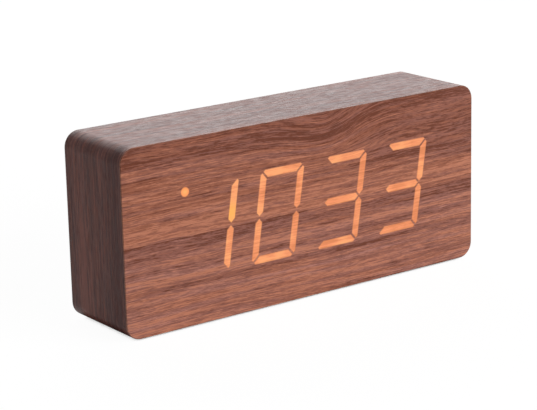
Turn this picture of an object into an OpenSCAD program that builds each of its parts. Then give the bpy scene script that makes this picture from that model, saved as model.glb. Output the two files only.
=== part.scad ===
// Wooden digital alarm clock: a veneered fibreboard case with amber digits that shine through its front.
// The front faces -Y, +X runs to the right of someone reading it, +Z is up, and z = 0 is the table top.

/* [Case] */
// Width of the case
case_w = 210; // [200:1:260]
// Height of the case without its feet
case_h = 90; // [84:1:120]
// Depth of the case from front to back
case_d = 48; // [46:1:70]
// Radius of the four rounded corners seen from the front
corner_r = 7.5; // [4:0.5:9]
// Thickness of the walls of the fibreboard frame
frame_wall = 9; // [7.5:0.5:10]
// Thickness of the wood veneer
veneer_t = 0.5; // [0.4:0.1:0.8]
// Width of the eased edge around the front and the back
edge_ease = 0.3; // [0.1:0.05:0.35]
// Thickness of the fibreboard behind the front veneer
front_board_t = 4; // [3:0.5:5]
// Width of the seam where the wrapped veneer meets under the case
wrap_seam = 0.2; // [0.1:0.05:0.5]

/* [Feet] */
// Height of the rubber feet
foot_h = 1; // [0.8:0.1:3]
// Radius of the rubber feet
foot_r = 5; // [4:0.5:8]
// Rounding of the feet at the table, as a bevel
foot_ease = 0.3; // [0.1:0.1:0.6]
// Distance of the feet from the sides of the case
foot_inset_x = 18; // [17:1:30]
// Distance of the feet from the front and back of the case
foot_inset_y = 11; // [9:0.5:13]

/* [Display] */
// Hours that the clock shows
shown_hours = 10; // [0:1:23]
// Minutes that the clock shows
shown_minutes = 33; // [0:1:59]
// Height of a digit
digit_h = 45.2; // [40:0.2:48]
// Width of a digit between the middles of its upright strokes
digit_w = 22; // [20:0.2:25]
// Width of a stroke
stroke = 3.8; // [3:0.1:4.4]
// Lean of the digits in degrees
slant = 9; // [0:1:12]
// Distance from one digit to the next
digit_pitch = 38.4; // [36:0.2:42]
// Distance of the display to the right of the middle of the case
display_shift = 1; // [-3:0.1:3]
// Gap between neighbouring strokes
segment_gap = 0.8; // [0.6:0.1:1.6]
// Legs of the bevel across the outer corners of a digit
corner_cut = 2.4; // [2:0.1:4.5]
// Diameter of the indicator dot
dot_d = 4.6; // [3:0.2:5]
// Distance of the middle of the dot from the edge of the first digit
dot_gap = 4.45; // [3.6:0.05:5]
// Distance of the middle of the dot below the top of the digits
dot_drop = 2.7; // [2.4:0.1:6]
// Diameter of the two dots of the colon
colon_d = 3.6; // [2:0.2:5]
// Height of the colon's dots above and below the middle
colon_rise = 8; // [6:0.5:12]

/* [Light box] */
// Thickness of the diffuser sheet
diffuser_t = 0.3; // [0.2:0.1:0.6]
// Depth of the light box
light_box_t = 9; // [7:0.5:10]
// Margin of the light box around the digits
light_box_margin = 6.4; // [6:0.2:8]
// Corner radius of the light box
light_box_r = 3; // [1:0.5:5]
// Distance of the display screws from the edges of the light box
display_screw_inset = 3.2; // [2.8:0.1:3.4]
// Length of a light-emitting diode
led_l = 2; // [1.6:0.1:2.4]
// Width of a light-emitting diode
led_w = 1.2; // [0.8:0.1:1.6]
// Height of a light-emitting diode
led_h = 0.8; // [0.5:0.1:1.2]
// Distance of the two diodes of a stroke from its middle
led_spread = 4.5; // [3:0.1:5]

/* [Circuit boards] */
// Thickness of both circuit boards
pcb_t = 1.6; // [1.2:0.1:2]
// Width of the main board
main_w = 76; // [72:1:80]
// Height of the main board
main_h = 54; // [52:1:56]
// Middle of the main board, to the right of the middle of the case
main_x = 46; // [44:0.5:48]
// Height of the posts between the rear cover and the main board
post_h = 10.4; // [9.4:0.2:12]
// Radius of the posts
post_r = 3; // [2.4:0.1:3.2]
// Distance of the posts from the edges of the main board
post_inset = 4; // [3.4:0.2:4.6]
// Height of the body of a chip
chip_h = 2.2; // [1.5:0.1:3]
// Width of the body of a chip
chip_w = 7.5; // [6:0.5:9]
// Length of the microcontroller
controller_l = 18; // [14:0.5:20]
// Length of a display driver chip
driver_l = 10; // [8:0.5:14]
// Reach of the legs of a chip beside its body
leg_l = 1.2; // [0.8:0.1:1.6]
// Width of a leg of a chip
leg_w = 0.5; // [0.3:0.05:0.7]
// Distance between the legs of a chip
leg_pitch = 1.27; // [1:0.01:1.5]
// Distance of the driver chips from the middle of the display
driver_x = 38; // [30:1:50]
// Length of the quartz crystal
crystal_l = 11; // [9:0.5:13]
// Width of the quartz crystal
crystal_w = 4.6; // [3.5:0.1:5]
// Height of the quartz crystal
crystal_h = 3.6; // [3:0.1:5]
// Distance of the quartz crystal to the left of the middle of the board
crystal_x = 16; // [16:0.5:18]
// Radius of the smoothing capacitors
capacitor_r = 3.2; // [2.5:0.1:3.6]
// Height of the smoothing capacitors
capacitor_h = 7; // [5:0.5:8]
// Distance of the first capacitor to the right of the middle of the board
capacitor_x = 18; // [17:0.5:20]
// Distance between the two capacitors
capacitor_pitch = 9; // [8:0.5:10]
// Length of the voltage regulator
regulator_l = 6.5; // [5:0.5:8]
// Width of the voltage regulator
regulator_w = 3.6; // [3:0.1:4.5]
// Height of the voltage regulator
regulator_h = 1.7; // [1.4:0.1:2.5]
// Drop of the voltage regulator below the middle of the board
regulator_drop = 13; // [11:0.5:15]

/* [Ribbon cable] */
// Height of the sockets at both ends of the ribbon
socket_h = 4; // [3:0.25:4.5]
// Thickness of the sockets
socket_t = 4; // [3:0.25:5]
// Length of the sockets
socket_l = 20; // [18:1:22]
// Distance of the socket on the main board from the edge of the board
socket_inset = 6; // [5:0.5:7]
// Distance along the case between the two sockets
ribbon_run = 12; // [10:0.5:14]
// Width of the ribbon
ribbon_w = 16; // [12:1:18]
// Thickness of the ribbon
ribbon_t = 0.8; // [0.5:0.1:1]
// Radius of the bends in the ribbon
ribbon_bend_r = 2.5; // [1.5:0.25:2.75]

/* [Rear cover] */
// Thickness of the rear cover
cover_t = 3.2; // [2.8:0.1:4]
// Width of the ledge that the rear cover sits on
cover_lip = 5; // [4:0.25:6]
// Depth of the rear cover behind the back edge of the case
cover_recess = 0.8; // [0.4:0.1:1.4]
// Clearance around the rear cover
cover_gap = 0.2; // [0.1:0.05:0.4]
// Corner radius of the rear cover
cover_r = 4; // [2:0.5:6]
// Distance of the cover screws from the edges of the cover
cover_screw_inset = 5.5; // [5:0.25:6.5]
// Depth of the sunk seats of the cover screws
cover_screw_sink = 1.8; // [1.6:0.1:2]
// Width of the screw blocks in the corners of the frame
block_w = 9; // [8:0.5:10]
// Length of the screw blocks in the corners of the frame
block_l = 14; // [13:0.5:20]

/* [Screws] */
// Radius of the heads of the cover screws
cover_head_r = 2.8; // [2.4:0.1:3]
// Height of the heads of the cover screws
cover_head_h = 1.5; // [1.2:0.1:1.6]
// Radius of the shafts of the cover screws
cover_shaft_r = 1.4; // [1:0.1:1.6]
// Grip of the cover screws in the frame
cover_grip = 9; // [6:0.5:11]
// Radius of the heads of the board screws
board_head_r = 2.2; // [1.8:0.1:2.5]
// Height of the heads of the board screws
board_head_h = 1.4; // [1:0.1:1.6]
// Radius of the shafts of the board screws
board_shaft_r = 1; // [0.8:0.05:1.2]
// Grip of the screws of the main board in the posts
post_grip = 6; // [4:0.5:8]
// Grip of the display screws in the front board
display_grip = 2; // [1.5:0.1:2.2]
// Room around a screw in the hole that it passes
screw_clearance = 0.2; // [0.1:0.05:0.4]
// Room around a screw in the hole that it grips
thread_clearance = 0.05; // [0.02:0.01:0.1]
// Room past the end of a screw
tip_room = 0.3; // [0.1:0.1:0.5]
// Width of the cross in a screw head
cross_w = 0.7; // [0.4:0.1:1]
// Depth of the cross in a screw head
cross_depth = 0.7; // [0.4:0.1:0.9]

/* [Buttons] */
// Radius of a button
button_r = 4; // [2.5:0.25:4.5]
// Distance between the buttons
button_pitch = 16; // [13:0.5:18]
// Distance of the middle button to the left of the middle of the board
button_x = 10; // [8:0.5:12]
// Height of the row of buttons above the middle of the case
button_rise = 17; // [14:0.5:19]
// Height of the buttons over the rear cover
button_proud = 0.5; // [0.3:0.1:1]
// Bevel around the face of a button
button_ease = 0.4; // [0.1:0.1:0.8]
// Clearance around a button in the rear cover
button_gap = 0.2; // [0.1:0.05:0.4]
// Width of the collar that keeps a button in the cover
collar_w = 1; // [0.8:0.1:1.2]
// Thickness of the collar
collar_t = 1.2; // [0.8:0.1:1.6]
// Clearance between the collar and the cover
collar_gap = 0.1; // [0.05:0.05:0.2]
// Radius of the stem of a button
stem_r = 1.6; // [1.2:0.1:1.7]
// Width of a push switch
push_w = 6; // [5.5:0.1:7]
// Height of the body of a push switch
push_h = 3.5; // [3:0.1:4]
// Thickness of the sheet metal around a push switch
push_sheet_t = 0.3; // [0.2:0.05:0.4]
// Radius of the plunger of a push switch
plunger_r = 1.75; // [1.5:0.05:2]
// Clearance around the plunger
plunger_gap = 0.1; // [0.05:0.05:0.2]
// Height of the plunger over the sheet metal
plunger_rise = 1.1; // [0.9:0.1:1.5]
// Thickness of the floor of a push switch
push_floor_t = 1; // [0.6:0.1:1.2]
// Room under the plunger at rest
plunger_room = 0.7; // [0.6:0.05:1]

/* [Slide switch] */
// Distance of the slide switch to the right of the middle of the board
slide_x = 24; // [22:0.5:25]
// Travel of the slide switch
slide_travel = 2; // [1.5:0.1:2.5]
// Width of the knob of the slide switch
knob_w = 2.5; // [2:0.1:3]
// Clearance around the knob
knob_gap = 0.3; // [0.2:0.05:0.4]
// Length of the plate that keeps the knob in the cover
knob_plate_l = 9; // [8.5:0.1:10]
// Width of the plate that keeps the knob in the cover
knob_plate_w = 5; // [4.4:0.1:5.4]
// Length of the body of the slide switch
slide_l = 8.5; // [8:0.1:10]
// Width of the body of the slide switch
slide_w = 4; // [3.8:0.1:5]
// Height of the body of the slide switch
slide_h = 3.5; // [3:0.1:4]
// Thickness of the floor of the slide switch
slide_floor_t = 1.2; // [0.8:0.1:1.6]

/* [Power socket and sound] */
// Distance of the power socket to the right of the middle of the board
jack_x = 26; // [24:0.5:28]
// Drop of the lower row of parts below the middle of the case
low_row_drop = 15; // [13:0.5:17]
// Radius of the barrel of the power socket
jack_r = 4; // [3.6:0.1:4.4]
// Radius of the bore of the power socket
jack_bore_r = 2.85; // [2.6:0.05:3.1]
// Depth of the bore of the power socket
jack_bore_depth = 9.5; // [8:0.25:10]
// Radius of the pin of the power socket
jack_pin_r = 1; // [0.6:0.05:1.2]
// Depth of the tip of the pin behind the face of the socket
jack_pin_sink = 1; // [0.5:0.1:2]
// Width of the base of the power socket
jack_base_w = 9; // [8.8:0.1:10]
// Height of the base of the power socket
jack_base_h = 4; // [3:0.25:6]
// Depth of the face of the socket behind the face of the cover
jack_sink = 0.2; // [0:0.1:0.6]
// Clearance around the socket in the cover
jack_gap = 0.2; // [0.1:0.05:0.4]
// Distance of the buzzer to the left of the middle of the board
buzzer_x = 22; // [20:0.5:23]
// Radius of the buzzer
buzzer_r = 6; // [5:0.25:7]
// Height of the buzzer
buzzer_h = 8.5; // [6:0.25:9]
// Radius of the hole in the top of the buzzer
buzzer_port_r = 1.2; // [0.8:0.1:2]
// Depth of the hole in the top of the buzzer
buzzer_port_depth = 1; // [0.5:0.1:2]
// Radius of the sound holes in the cover
sound_hole_r = 0.9; // [0.6:0.05:1.2]
// Radius of the ring of sound holes
sound_ring_r = 3.4; // [3:0.1:4.5]
// Distance of the microphone to the right of the middle of the board
microphone_x = 2; // [0:0.5:4]
// Radius of the microphone
microphone_r = 3; // [2:0.1:4]
// Height of the microphone
microphone_h = 3; // [2:0.1:4]
// Gap between the microphone and the cover
microphone_gap = 0.3; // [0.1:0.1:0.6]
// Radius of the two wires of the microphone
microphone_wire_r = 0.25; // [0.2:0.05:0.4]
// Distance between the two wires of the microphone
microphone_wire_pitch = 2.5; // [2:0.1:3]

/* [Battery bay] */
// Diameter of a cell
cell_d = 10.5; // [10:0.1:11.5]
// Length of a cell with its contact
cell_l = 44.5; // [42:0.5:48]
// Gap between the cells
cell_gap = 0.4; // [0.2:0.1:0.8]
// Radius of the positive contact of a cell
nub_r = 1.9; // [1.5:0.1:2.5]
// Length of the positive contact of a cell
nub_l = 0.8; // [0.5:0.1:1.2]
// Bevel at the ends of a cell
cell_ease = 0.5; // [0.2:0.1:0.8]
// Middle of the battery bay, to the right of the middle of the case
bay_x = -46; // [-50:0.5:-43]
// Thickness of the walls of the battery bay
bay_wall = 2.4; // [2:0.1:3]
// Thickness of the floor of the battery bay
bay_floor_t = 1.5; // [1.2:0.1:2]
// Gap between a cell and the floor or the door
cell_room = 0.2; // [0.1:0.05:0.4]
// Length of a battery spring at rest in the bay
spring_l = 6; // [5.5:0.25:7.5]
// Radius of the wide end of a battery spring
spring_wide_r = 2.8; // [2.4:0.1:3.2]
// Radius of the narrow end of a battery spring
spring_narrow_r = 2; // [1.6:0.1:2.3]
// Diameter of the spring wire
spring_wire = 0.5; // [0.4:0.05:0.55]
// Turns of a battery spring
spring_turns = 4; // [3:1:4]
// Thickness of the contact plates
plate_t = 0.4; // [0.3:0.05:0.6]
// Width of a contact plate for one cell
plate_w = 8.4; // [7:0.1:9]
// Height of the contact plates over the floor
plate_h = 9.5; // [7:0.25:10]
// Width of the solder tabs
tab_w = 2; // [1.6:0.1:3]
// Clearance of a solder tab in the floor
tab_gap = 0.15; // [0.05:0.05:0.3]
// Reach of a solder tab past the wire that it holds
tab_reach = 1.2; // [0.9:0.1:1.6]

/* [Battery door] */
// Thickness of the battery door
door_t = 2.6; // [2.2:0.1:2.7]
// Width of the step that the door sits in
door_ledge = 1.6; // [1.2:0.1:1.8]
// Clearance around the door
door_gap = 0.2; // [0.15:0.05:0.4]
// Clearance under the door
door_seat_gap = 0.15; // [0.1:0.05:0.3]
// Radius of the hinge pins
hinge_pin_r = 0.7; // [0.5:0.05:0.8]
// Reach of the hinge pins into the cover
hinge_pin_l = 1.2; // [0.8:0.1:1.6]
// Clearance around the hinge pins
hinge_gap = 0.05; // [0.02:0.01:0.1]
// Radius of the finger notch under the door
notch_r = 7; // [5:0.5:9]
// Depth of the finger notch
notch_depth = 1.5; // [1:0.1:2]
// Number of grip ridges on the door
ridge_count = 5; // [3:1:6]
// Length of a grip ridge
ridge_l = 16; // [10:1:24]
// Width of a grip ridge
ridge_w = 0.8; // [0.5:0.1:1]
// Height of a grip ridge
ridge_h = 0.3; // [0.2:0.05:0.4]
// Distance between the grip ridges
ridge_pitch = 1.8; // [1.5:0.1:2.5]
// Distance of the first ridge from the lower edge of the door
ridge_start = 3; // [2:0.5:6]

/* [Wires] */
// Radius of the battery wires
wire_r = 0.7; // [0.5:0.05:0.8]
// Distance of the wires in front of the main board
wire_drop = 2.8; // [2.6:0.1:3.2]
// Radius of the bend in the wires
wire_bend_r = 2; // [1.5:0.1:2.2]
// Distance of the wires from the edge of the main board
wire_inset = 2; // [1.2:0.1:2.4]

/* [Hidden] */
$fn = 64;
// Overshoot of a cut past the face that it opens
cut = 1;

// Planes from the front of the case to its back
front_y = -case_d / 2;
rear_y = case_d / 2;
mid_z = foot_h + case_h / 2;
board_front_y = front_y + veneer_t;
board_rear_y = board_front_y + front_board_t;
diffuser_rear_y = board_rear_y + diffuser_t;
box_rear_y = diffuser_rear_y + light_box_t;
display_rear_y = box_rear_y + pcb_t;
frame_rear_y = rear_y - veneer_t;
cover_rear_y = rear_y - cover_recess;
cover_front_y = cover_rear_y - cover_t;
main_rear_y = cover_front_y - post_h;
main_front_y = main_rear_y - pcb_t;

// Outlines of the case
frame_w = case_w - 2 * veneer_t;
frame_h = case_h - 2 * veneer_t;
frame_r = corner_r - veneer_t;
cavity_w = frame_w - 2 * frame_wall;
cavity_h = frame_h - 2 * frame_wall;
rabbet_w = cavity_w + 2 * cover_lip;
rabbet_h = cavity_h + 2 * cover_lip;
rabbet_r = cover_r + cover_gap;
cover_w = rabbet_w - 2 * cover_gap;
cover_h = rabbet_h - 2 * cover_gap;
cover_screws_at = corners(cover_w / 2 - cover_screw_inset, cover_h / 2 - cover_screw_inset);

// Digits and the light box behind them
SEGMENTS = "abcdefg";
LIT = ["abcdef", "bc", "abdeg", "abcdg", "bcfg", "acdfg", "acdefg", "abc", "abcdefg", "abcdfg"];
shown = [floor(shown_hours / 10), shown_hours % 10, floor(shown_minutes / 10), shown_minutes % 10];
digit_count = len(shown);
half_h = digit_h / 2;
half_w = (digit_w + stroke) / 2;
mitre = segment_gap / sqrt(2);
dot_z = half_h - dot_drop;
dot_at = [digit_x(0) - half_w + dot_z * tan(slant) - dot_gap, dot_z];
colon_at = [for (side = [-1, 1]) [display_shift, 0] + leaned([0, side * colon_rise])];
box_w = (digit_count - 1) * digit_pitch + 2 * half_w + digit_h * tan(slant) + 2 * light_box_margin;
box_h = digit_h + 2 * light_box_margin;
display_screws_at = [
    for (side = [-1, 0, 1], level = [-1, 1])
        [display_shift + side * (box_w / 2 - display_screw_inset), level * (box_h / 2 - display_screw_inset)]
];

// Places on the main board, from the middle of the case
main_screws_at = [for (p = corners(main_w / 2 - post_inset, main_h / 2 - post_inset)) [main_x, 0] + p];
middle_button_x = main_x - button_x;
set_at = [middle_button_x - button_pitch, button_rise];
up_at = [middle_button_x, button_rise];
down_at = [middle_button_x + button_pitch, button_rise];
buttons_at = [set_at, up_at, down_at];
slide_at = [main_x + slide_x, button_rise];
jack_at = [main_x + jack_x, -low_row_drop];
buzzer_at = [main_x - buzzer_x, -low_row_drop];
microphone_at = [main_x + microphone_x, -low_row_drop];
push_top_y = main_rear_y + push_h + push_sheet_t;
plunger_top_y = push_top_y + plunger_rise;
collar_rear_y = cover_front_y - collar_gap;
collar_front_y = collar_rear_y - collar_t;
proud_y = cover_rear_y + button_proud;
jack_face_y = cover_rear_y - jack_sink;
knob_slot = [knob_w + slide_travel + 2 * knob_gap, knob_w + 2 * knob_gap];

// Ribbon cable between the two boards
main_socket_x = main_x - main_w / 2 + socket_inset;
display_socket_x = main_socket_x - ribbon_run;
ribbon_start_y = display_rear_y + socket_h;
ribbon_end_y = main_front_y - socket_h;
// A bend leaves room for a straight end, as long as the ribbon is thick, at each socket
ribbon_r = min(ribbon_bend_r, (ribbon_end_y - ribbon_start_y) / 2 - ribbon_t);

// Battery bay
cell_count = 4;
cell_pitch = cell_d + cell_gap;
bay_l = cell_l + spring_l + 2 * plate_t;
bay_h = cell_count * cell_pitch + cell_gap;
door_inner_y = cover_rear_y - door_t;
cell_y = door_inner_y - cell_room - cell_d / 2;
bay_floor_y = cell_y - cell_d / 2 - cell_room;
bay_bottom_y = bay_floor_y - bay_floor_t;
pocket_w = bay_l + 2 * door_ledge;
pocket_h = bay_h + 2 * door_ledge;
door_w = pocket_w - 2 * door_gap;
door_h = pocket_h - 2 * door_gap;
hinge_y = cover_rear_y - door_t / 2;
hinge_z = door_h / 2 - door_t / 2;
hinge_span = pocket_w + 2 * hinge_pin_l;
tab_x = bay_x + (bay_l - plate_t) / 2;
wire_y = min(main_front_y, bay_bottom_y) - wire_drop;
wire_start_x = bay_x + bay_l / 2;
wire_end_x = main_x - main_w / 2 + wire_inset;

// Coil of a battery spring along +X, with a straight end one wire long at each side
RINGS_PER_TURN = 8;
WIRE_SIDES = 6;
spring_steps = RINGS_PER_TURN * spring_turns;
spring_points = concat(
    [[0, spring_wide_r, 0]],
    [for (k = [0 : spring_steps]) spring_point(k / spring_steps)],
    [[spring_l, spring_narrow_r, 0]]
);
spring_least_gap = min([
    for (i = [0 : len(spring_points) - 1], j = [i + RINGS_PER_TURN / 2 + 1 : 1 : len(spring_points) - 1])
        norm(spring_points[i] - spring_points[j]) - spring_wire
]);
echo(spring_least_gap = spring_least_gap);

function corners(x, z) = [for (side = [-1, 1], level = [-1, 1]) [side * x, level * z]];

function arc(middle, r, from, to, steps = 8) = [
    for (k = [0 : steps]) let (a = from + (to - from) * k / steps) middle + r * [cos(a), sin(a)]
];

function backwards(points) = [for (k = [len(points) - 1 : -1 : 0]) points[k]];

// Strokes of an upright digit around its own middle: the top bar, the upper right stroke and the middle bar
function top_bar() = let (tip_x = half_w - (corner_cut + mitre) / 2, tip_z = half_h - (corner_cut - mitre) / 2) [
    [corner_cut - half_w, half_h],
    [half_w - corner_cut, half_h],
    [tip_x, tip_z],
    [half_w - stroke - mitre, half_h - stroke],
    [stroke + mitre - half_w, half_h - stroke],
    [-tip_x, tip_z]
];

function upper_right() = [
    [half_w, half_h - corner_cut],
    [half_w - (corner_cut - mitre) / 2, half_h - (corner_cut + mitre) / 2],
    [half_w - stroke, half_h - stroke - mitre],
    [half_w - stroke, mitre + stroke / 2],
    [half_w - stroke / 2, mitre],
    [half_w, mitre + stroke / 2]
];

function middle_bar() = let (tip_x = half_w - stroke / 2 - mitre, shoulder_x = half_w - stroke - mitre) [
    [tip_x, 0],
    [shoulder_x, stroke / 2],
    [-shoulder_x, stroke / 2],
    [-tip_x, 0],
    [-shoulder_x, -stroke / 2],
    [shoulder_x, -stroke / 2]
];

function flipped(points, side, level) = [for (p = points) [side * p[0], level * p[1]]];

// Edge of an eased plate, as distance from its middle and y
function eased_edge(half, back_y, face_y) = [
    [half, back_y],
    [half, face_y - sign(face_y - back_y) * edge_ease],
    [half - edge_ease, face_y]
];

function segment(name) =
    name == "a" ? top_bar() :
    name == "b" ? upper_right() :
    name == "c" ? flipped(upper_right(), 1, -1) :
    name == "d" ? flipped(top_bar(), 1, -1) :
    name == "e" ? flipped(upper_right(), -1, -1) :
    name == "f" ? flipped(upper_right(), -1, 1) :
    middle_bar();

function leaned(p) = [p[0] + p[1] * tan(slant), p[1]];

function digit_x(place) = display_shift + (place - (digit_count - 1) / 2) * digit_pitch;

function is_bar(name) = name == "a" || name == "d" || name == "g";

function average(points) = [for (p = points) 1] * points / len(points);

function cell_z(k) = (k - (cell_count - 1) / 2) * cell_pitch;

// The positive end of every second cell points right
function cell_way(k) = k % 2 == 0 ? 1 : -1;

function spring_point(t) = let (
    turn = 360 * spring_turns * t,
    r = spring_wide_r + (spring_narrow_r - spring_wide_r) * t
) [spring_wire + (spring_l - 2 * spring_wire) * t, r * cos(turn), r * sin(turn)];

function unit(v) = v / norm(v);

function heading(path, k) =
    k == 0 ? unit(path[1] - path[0]) :
    k == len(path) - 1 ? unit(path[k] - path[k - 1]) :
    unit(unit(path[k + 1] - path[k]) + unit(path[k] - path[k - 1]));

// Ring of points around a spring's wire, turned to face along the wire
function wire_ring(path, k, r) = let (
    along = heading(path, k),
    outward = unit([0, path[k][1], path[k][2]]),
    side = unit(outward - (outward * along) * along),
    other = cross(along, side)
) [for (j = [0 : WIRE_SIDES - 1]) let (a = 360 * j / WIRE_SIDES) path[k] + r * (cos(a) * side + sin(a) * other)];

// A flat shape in the plane of the front, given depth between two planes
module slab(from_y, to_y) {
    translate([0, to_y, mid_z]) rotate([90, 0, 0]) linear_extrude(to_y - from_y) children();
}

// A round bar from front to back
module rod(at, r, from_y, to_y) {
    translate([at[0], to_y, mid_z + at[1]]) rotate([90, 0, 0]) cylinder(r = r, h = to_y - from_y);
}

// A shape turned around an axis from front to back, drawn as radius and y
module turned(at) {
    translate([at[0], 0, mid_z + at[1]]) rotate([-90, 0, 0]) rotate_extrude() children();
}

module rounded_rect(w, h, r) {
    square([w - 2 * r, h], center = true);
    square([w, h - 2 * r], center = true);
    for (p = corners(w / 2 - r, h / 2 - r))
        translate(p) circle(r);
}

// The outline of the case as a plate, eased around the face at face_y: two crossing bars and round corners
module eased_plate(back_y, face_y) {
    translate([0, 0, mid_z]) {
        linear_extrude(case_h - 2 * corner_r, center = true) eased_section(case_w / 2, back_y, face_y);
        rotate([0, -90, 0]) linear_extrude(case_w - 2 * corner_r, center = true)
            eased_section(case_h / 2, back_y, face_y);
    }
    for (p = corners(case_w / 2 - corner_r, case_h / 2 - corner_r))
        turned(p) polygon(concat([[0, back_y]], eased_edge(corner_r, back_y, face_y), [[0, face_y]]));
}

module eased_section(half, back_y, face_y) {
    edge = eased_edge(half, back_y, face_y);
    polygon(concat(edge, backwards(flipped(edge, -1, 1))));
}

module segment_shape(place, name) {
    translate([digit_x(place), 0]) polygon([for (p = segment(name)) leaned(p)]);
}

module lit_digit(place) {
    for (name = LIT[shown[place]])
        segment_shape(place, name);
}

module dot_shape() {
    translate(dot_at) circle(d = dot_d);
}

// Every opening that light can pass on its way to the front
module light_holes() {
    for (place = [0 : digit_count - 1], name = SEGMENTS)
        segment_shape(place, name);
    dot_shape();
    for (p = colon_at)
        translate(p) circle(d = colon_d);
}

module display_outline() {
    translate([display_shift, 0]) rounded_rect(box_w, box_h, light_box_r);
}

// Holes that the display screws pass freely
module display_screw_holes(from_y, to_y) {
    for (p = display_screws_at)
        rod(p, board_shaft_r + screw_clearance, from_y - cut, to_y + cut);
}

// A screw whose head stands on seat_y and points along way, +1 for the back
module screw(at, seat_y, way, head_r, head_h, shaft_r, shaft_l) {
    translate([at[0], seat_y, mid_z + at[1]]) rotate([-90 * way, 0, 0])
        difference() {
            rotate_extrude() polygon([
                [0, -shaft_l],
                [shaft_r, -shaft_l],
                [shaft_r, 0],
                [head_r, 0],
                [head_r, head_h / 2],
                [head_r - head_h / 2, head_h],
                [0, head_h]
            ]);
            translate([0, 0, head_h]) {
                cube([head_r, cross_w, 2 * cross_depth], center = true);
                cube([cross_w, head_r, 2 * cross_depth], center = true);
            }
        }
}

// A chip with two rows of legs, on the face of a board at face_y
module chip(at, body_l, face_y, way) {
    legs = floor(body_l / leg_pitch) - 1;
    from_y = min(face_y, face_y + way * chip_h);
    slab(from_y, from_y + chip_h) translate(at) square([body_l, chip_w], center = true);
    leg_y = min(face_y, face_y + way * chip_h / 2);
    slab(leg_y, leg_y + chip_h / 2)
        for (k = [0 : legs - 1])
            translate(at + [(k - (legs - 1) / 2) * leg_pitch, 0])
                square([leg_w, chip_w + 2 * leg_l], center = true);
}

module case_frame() {
    color([0.62, 0.49, 0.35])
    difference() {
        union() {
            difference() {
                slab(board_rear_y, frame_rear_y) rounded_rect(frame_w, frame_h, frame_r);
                slab(board_rear_y - cut, frame_rear_y + cut) square([cavity_w, cavity_h], center = true);
            }
            slab(cover_front_y - block_l, cover_front_y)
                for (p = cover_screws_at)
                    translate(p) square(block_w, center = true);
        }
        slab(cover_front_y, frame_rear_y + cut) rounded_rect(rabbet_w, rabbet_h, rabbet_r);
        for (p = cover_screws_at)
            rod(p, cover_shaft_r + thread_clearance, cover_front_y - cover_grip - tip_room, cover_front_y + cut);
    }
}

module front_board() {
    color([0.62, 0.49, 0.35])
    difference() {
        slab(board_front_y, board_rear_y) rounded_rect(frame_w, frame_h, frame_r);
        slab(board_front_y - cut, board_rear_y + cut) light_holes();
        for (p = display_screws_at)
            rod(p, board_shaft_r + thread_clearance, board_rear_y - display_grip - tip_room, board_rear_y + cut);
    }
}

module front_veneer() {
    color([0.6, 0.39, 0.32])
    difference() {
        eased_plate(board_front_y, front_y);
        slab(front_y - cut, board_front_y + cut) {
            for (place = [0 : digit_count - 1])
                lit_digit(place);
            dot_shape();
        }
    }
}

module wrap_veneer() {
    color([0.5, 0.33, 0.27])
    slab(board_front_y, frame_rear_y)
        difference() {
            rounded_rect(case_w, case_h, corner_r);
            rounded_rect(frame_w, frame_h, frame_r);
            translate([0, -case_h / 2]) square([wrap_seam, 4 * veneer_t], center = true);
        }
}

module rear_veneer() {
    color([0.5, 0.33, 0.27])
    difference() {
        eased_plate(frame_rear_y, rear_y);
        slab(frame_rear_y - cut, rear_y + cut) rounded_rect(rabbet_w, rabbet_h, rabbet_r);
    }
}

module rubber_feet() {
    color([0.1, 0.1, 0.1])
    for (p = corners(case_w / 2 - foot_inset_x, case_d / 2 - foot_inset_y))
        translate(p) rotate_extrude() polygon([
            [0, 0],
            [foot_r - foot_ease, 0],
            [foot_r, foot_ease],
            [foot_r, foot_h],
            [0, foot_h]
        ]);
}

// Veneer over one lit digit, thin enough for the light to pass
module lit_window(place) {
    color([0.96, 0.6, 0.4]) slab(front_y, board_front_y) lit_digit(place);
}

module hour_tens_segments() {
    lit_window(0);
}

module hour_units_segments() {
    lit_window(1);
}

module minute_tens_segments() {
    lit_window(2);
}

module minute_units_segments() {
    lit_window(3);
}

module indicator_dot() {
    color([1, 0.7, 0.4]) slab(front_y, board_front_y) dot_shape();
}

module diffuser_sheet() {
    color([0.95, 0.93, 0.88])
    difference() {
        slab(board_rear_y, diffuser_rear_y) display_outline();
        display_screw_holes(board_rear_y, diffuser_rear_y);
    }
}

module light_box() {
    color([0.93, 0.93, 0.91])
    difference() {
        slab(diffuser_rear_y, box_rear_y) display_outline();
        slab(diffuser_rear_y - cut, box_rear_y + cut) light_holes();
        display_screw_holes(diffuser_rear_y, box_rear_y);
    }
}

module display_pcb() {
    color([0.08, 0.3, 0.16])
    difference() {
        slab(box_rear_y, display_rear_y) display_outline();
        display_screw_holes(box_rear_y, display_rear_y);
    }
}

module segment_leds() {
    color([1, 0.75, 0.3])
    slab(box_rear_y - led_h, box_rear_y) {
        for (place = [0 : digit_count - 1], name = SEGMENTS, side = [-1, 1]) {
            step = is_bar(name) ? [side * led_spread, 0] : [0, side * led_spread];
            at = [digit_x(place), 0] + leaned(average(segment(name)) + step);
            translate(at) square(is_bar(name) ? [led_l, led_w] : [led_w, led_l], center = true);
        }
        for (p = concat([dot_at], colon_at))
            translate(p) square([led_l, led_w], center = true);
    }
}

module led_drivers() {
    color([0.12, 0.12, 0.13])
    for (side = [-1, 1])
        chip([display_shift + side * driver_x, 0], driver_l, display_rear_y, 1);
}

module display_screws() {
    color([0.7, 0.7, 0.72])
    for (p = display_screws_at)
        screw(p, display_rear_y, 1, board_head_r, board_head_h, board_shaft_r,
            display_rear_y - board_rear_y + display_grip);
}

module main_pcb() {
    color([0.08, 0.3, 0.16])
    difference() {
        slab(main_front_y, main_rear_y) translate([main_x, 0]) square([main_w, main_h], center = true);
        for (p = main_screws_at)
            rod(p, board_shaft_r + screw_clearance, main_front_y - cut, main_rear_y + cut);
    }
}

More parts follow.
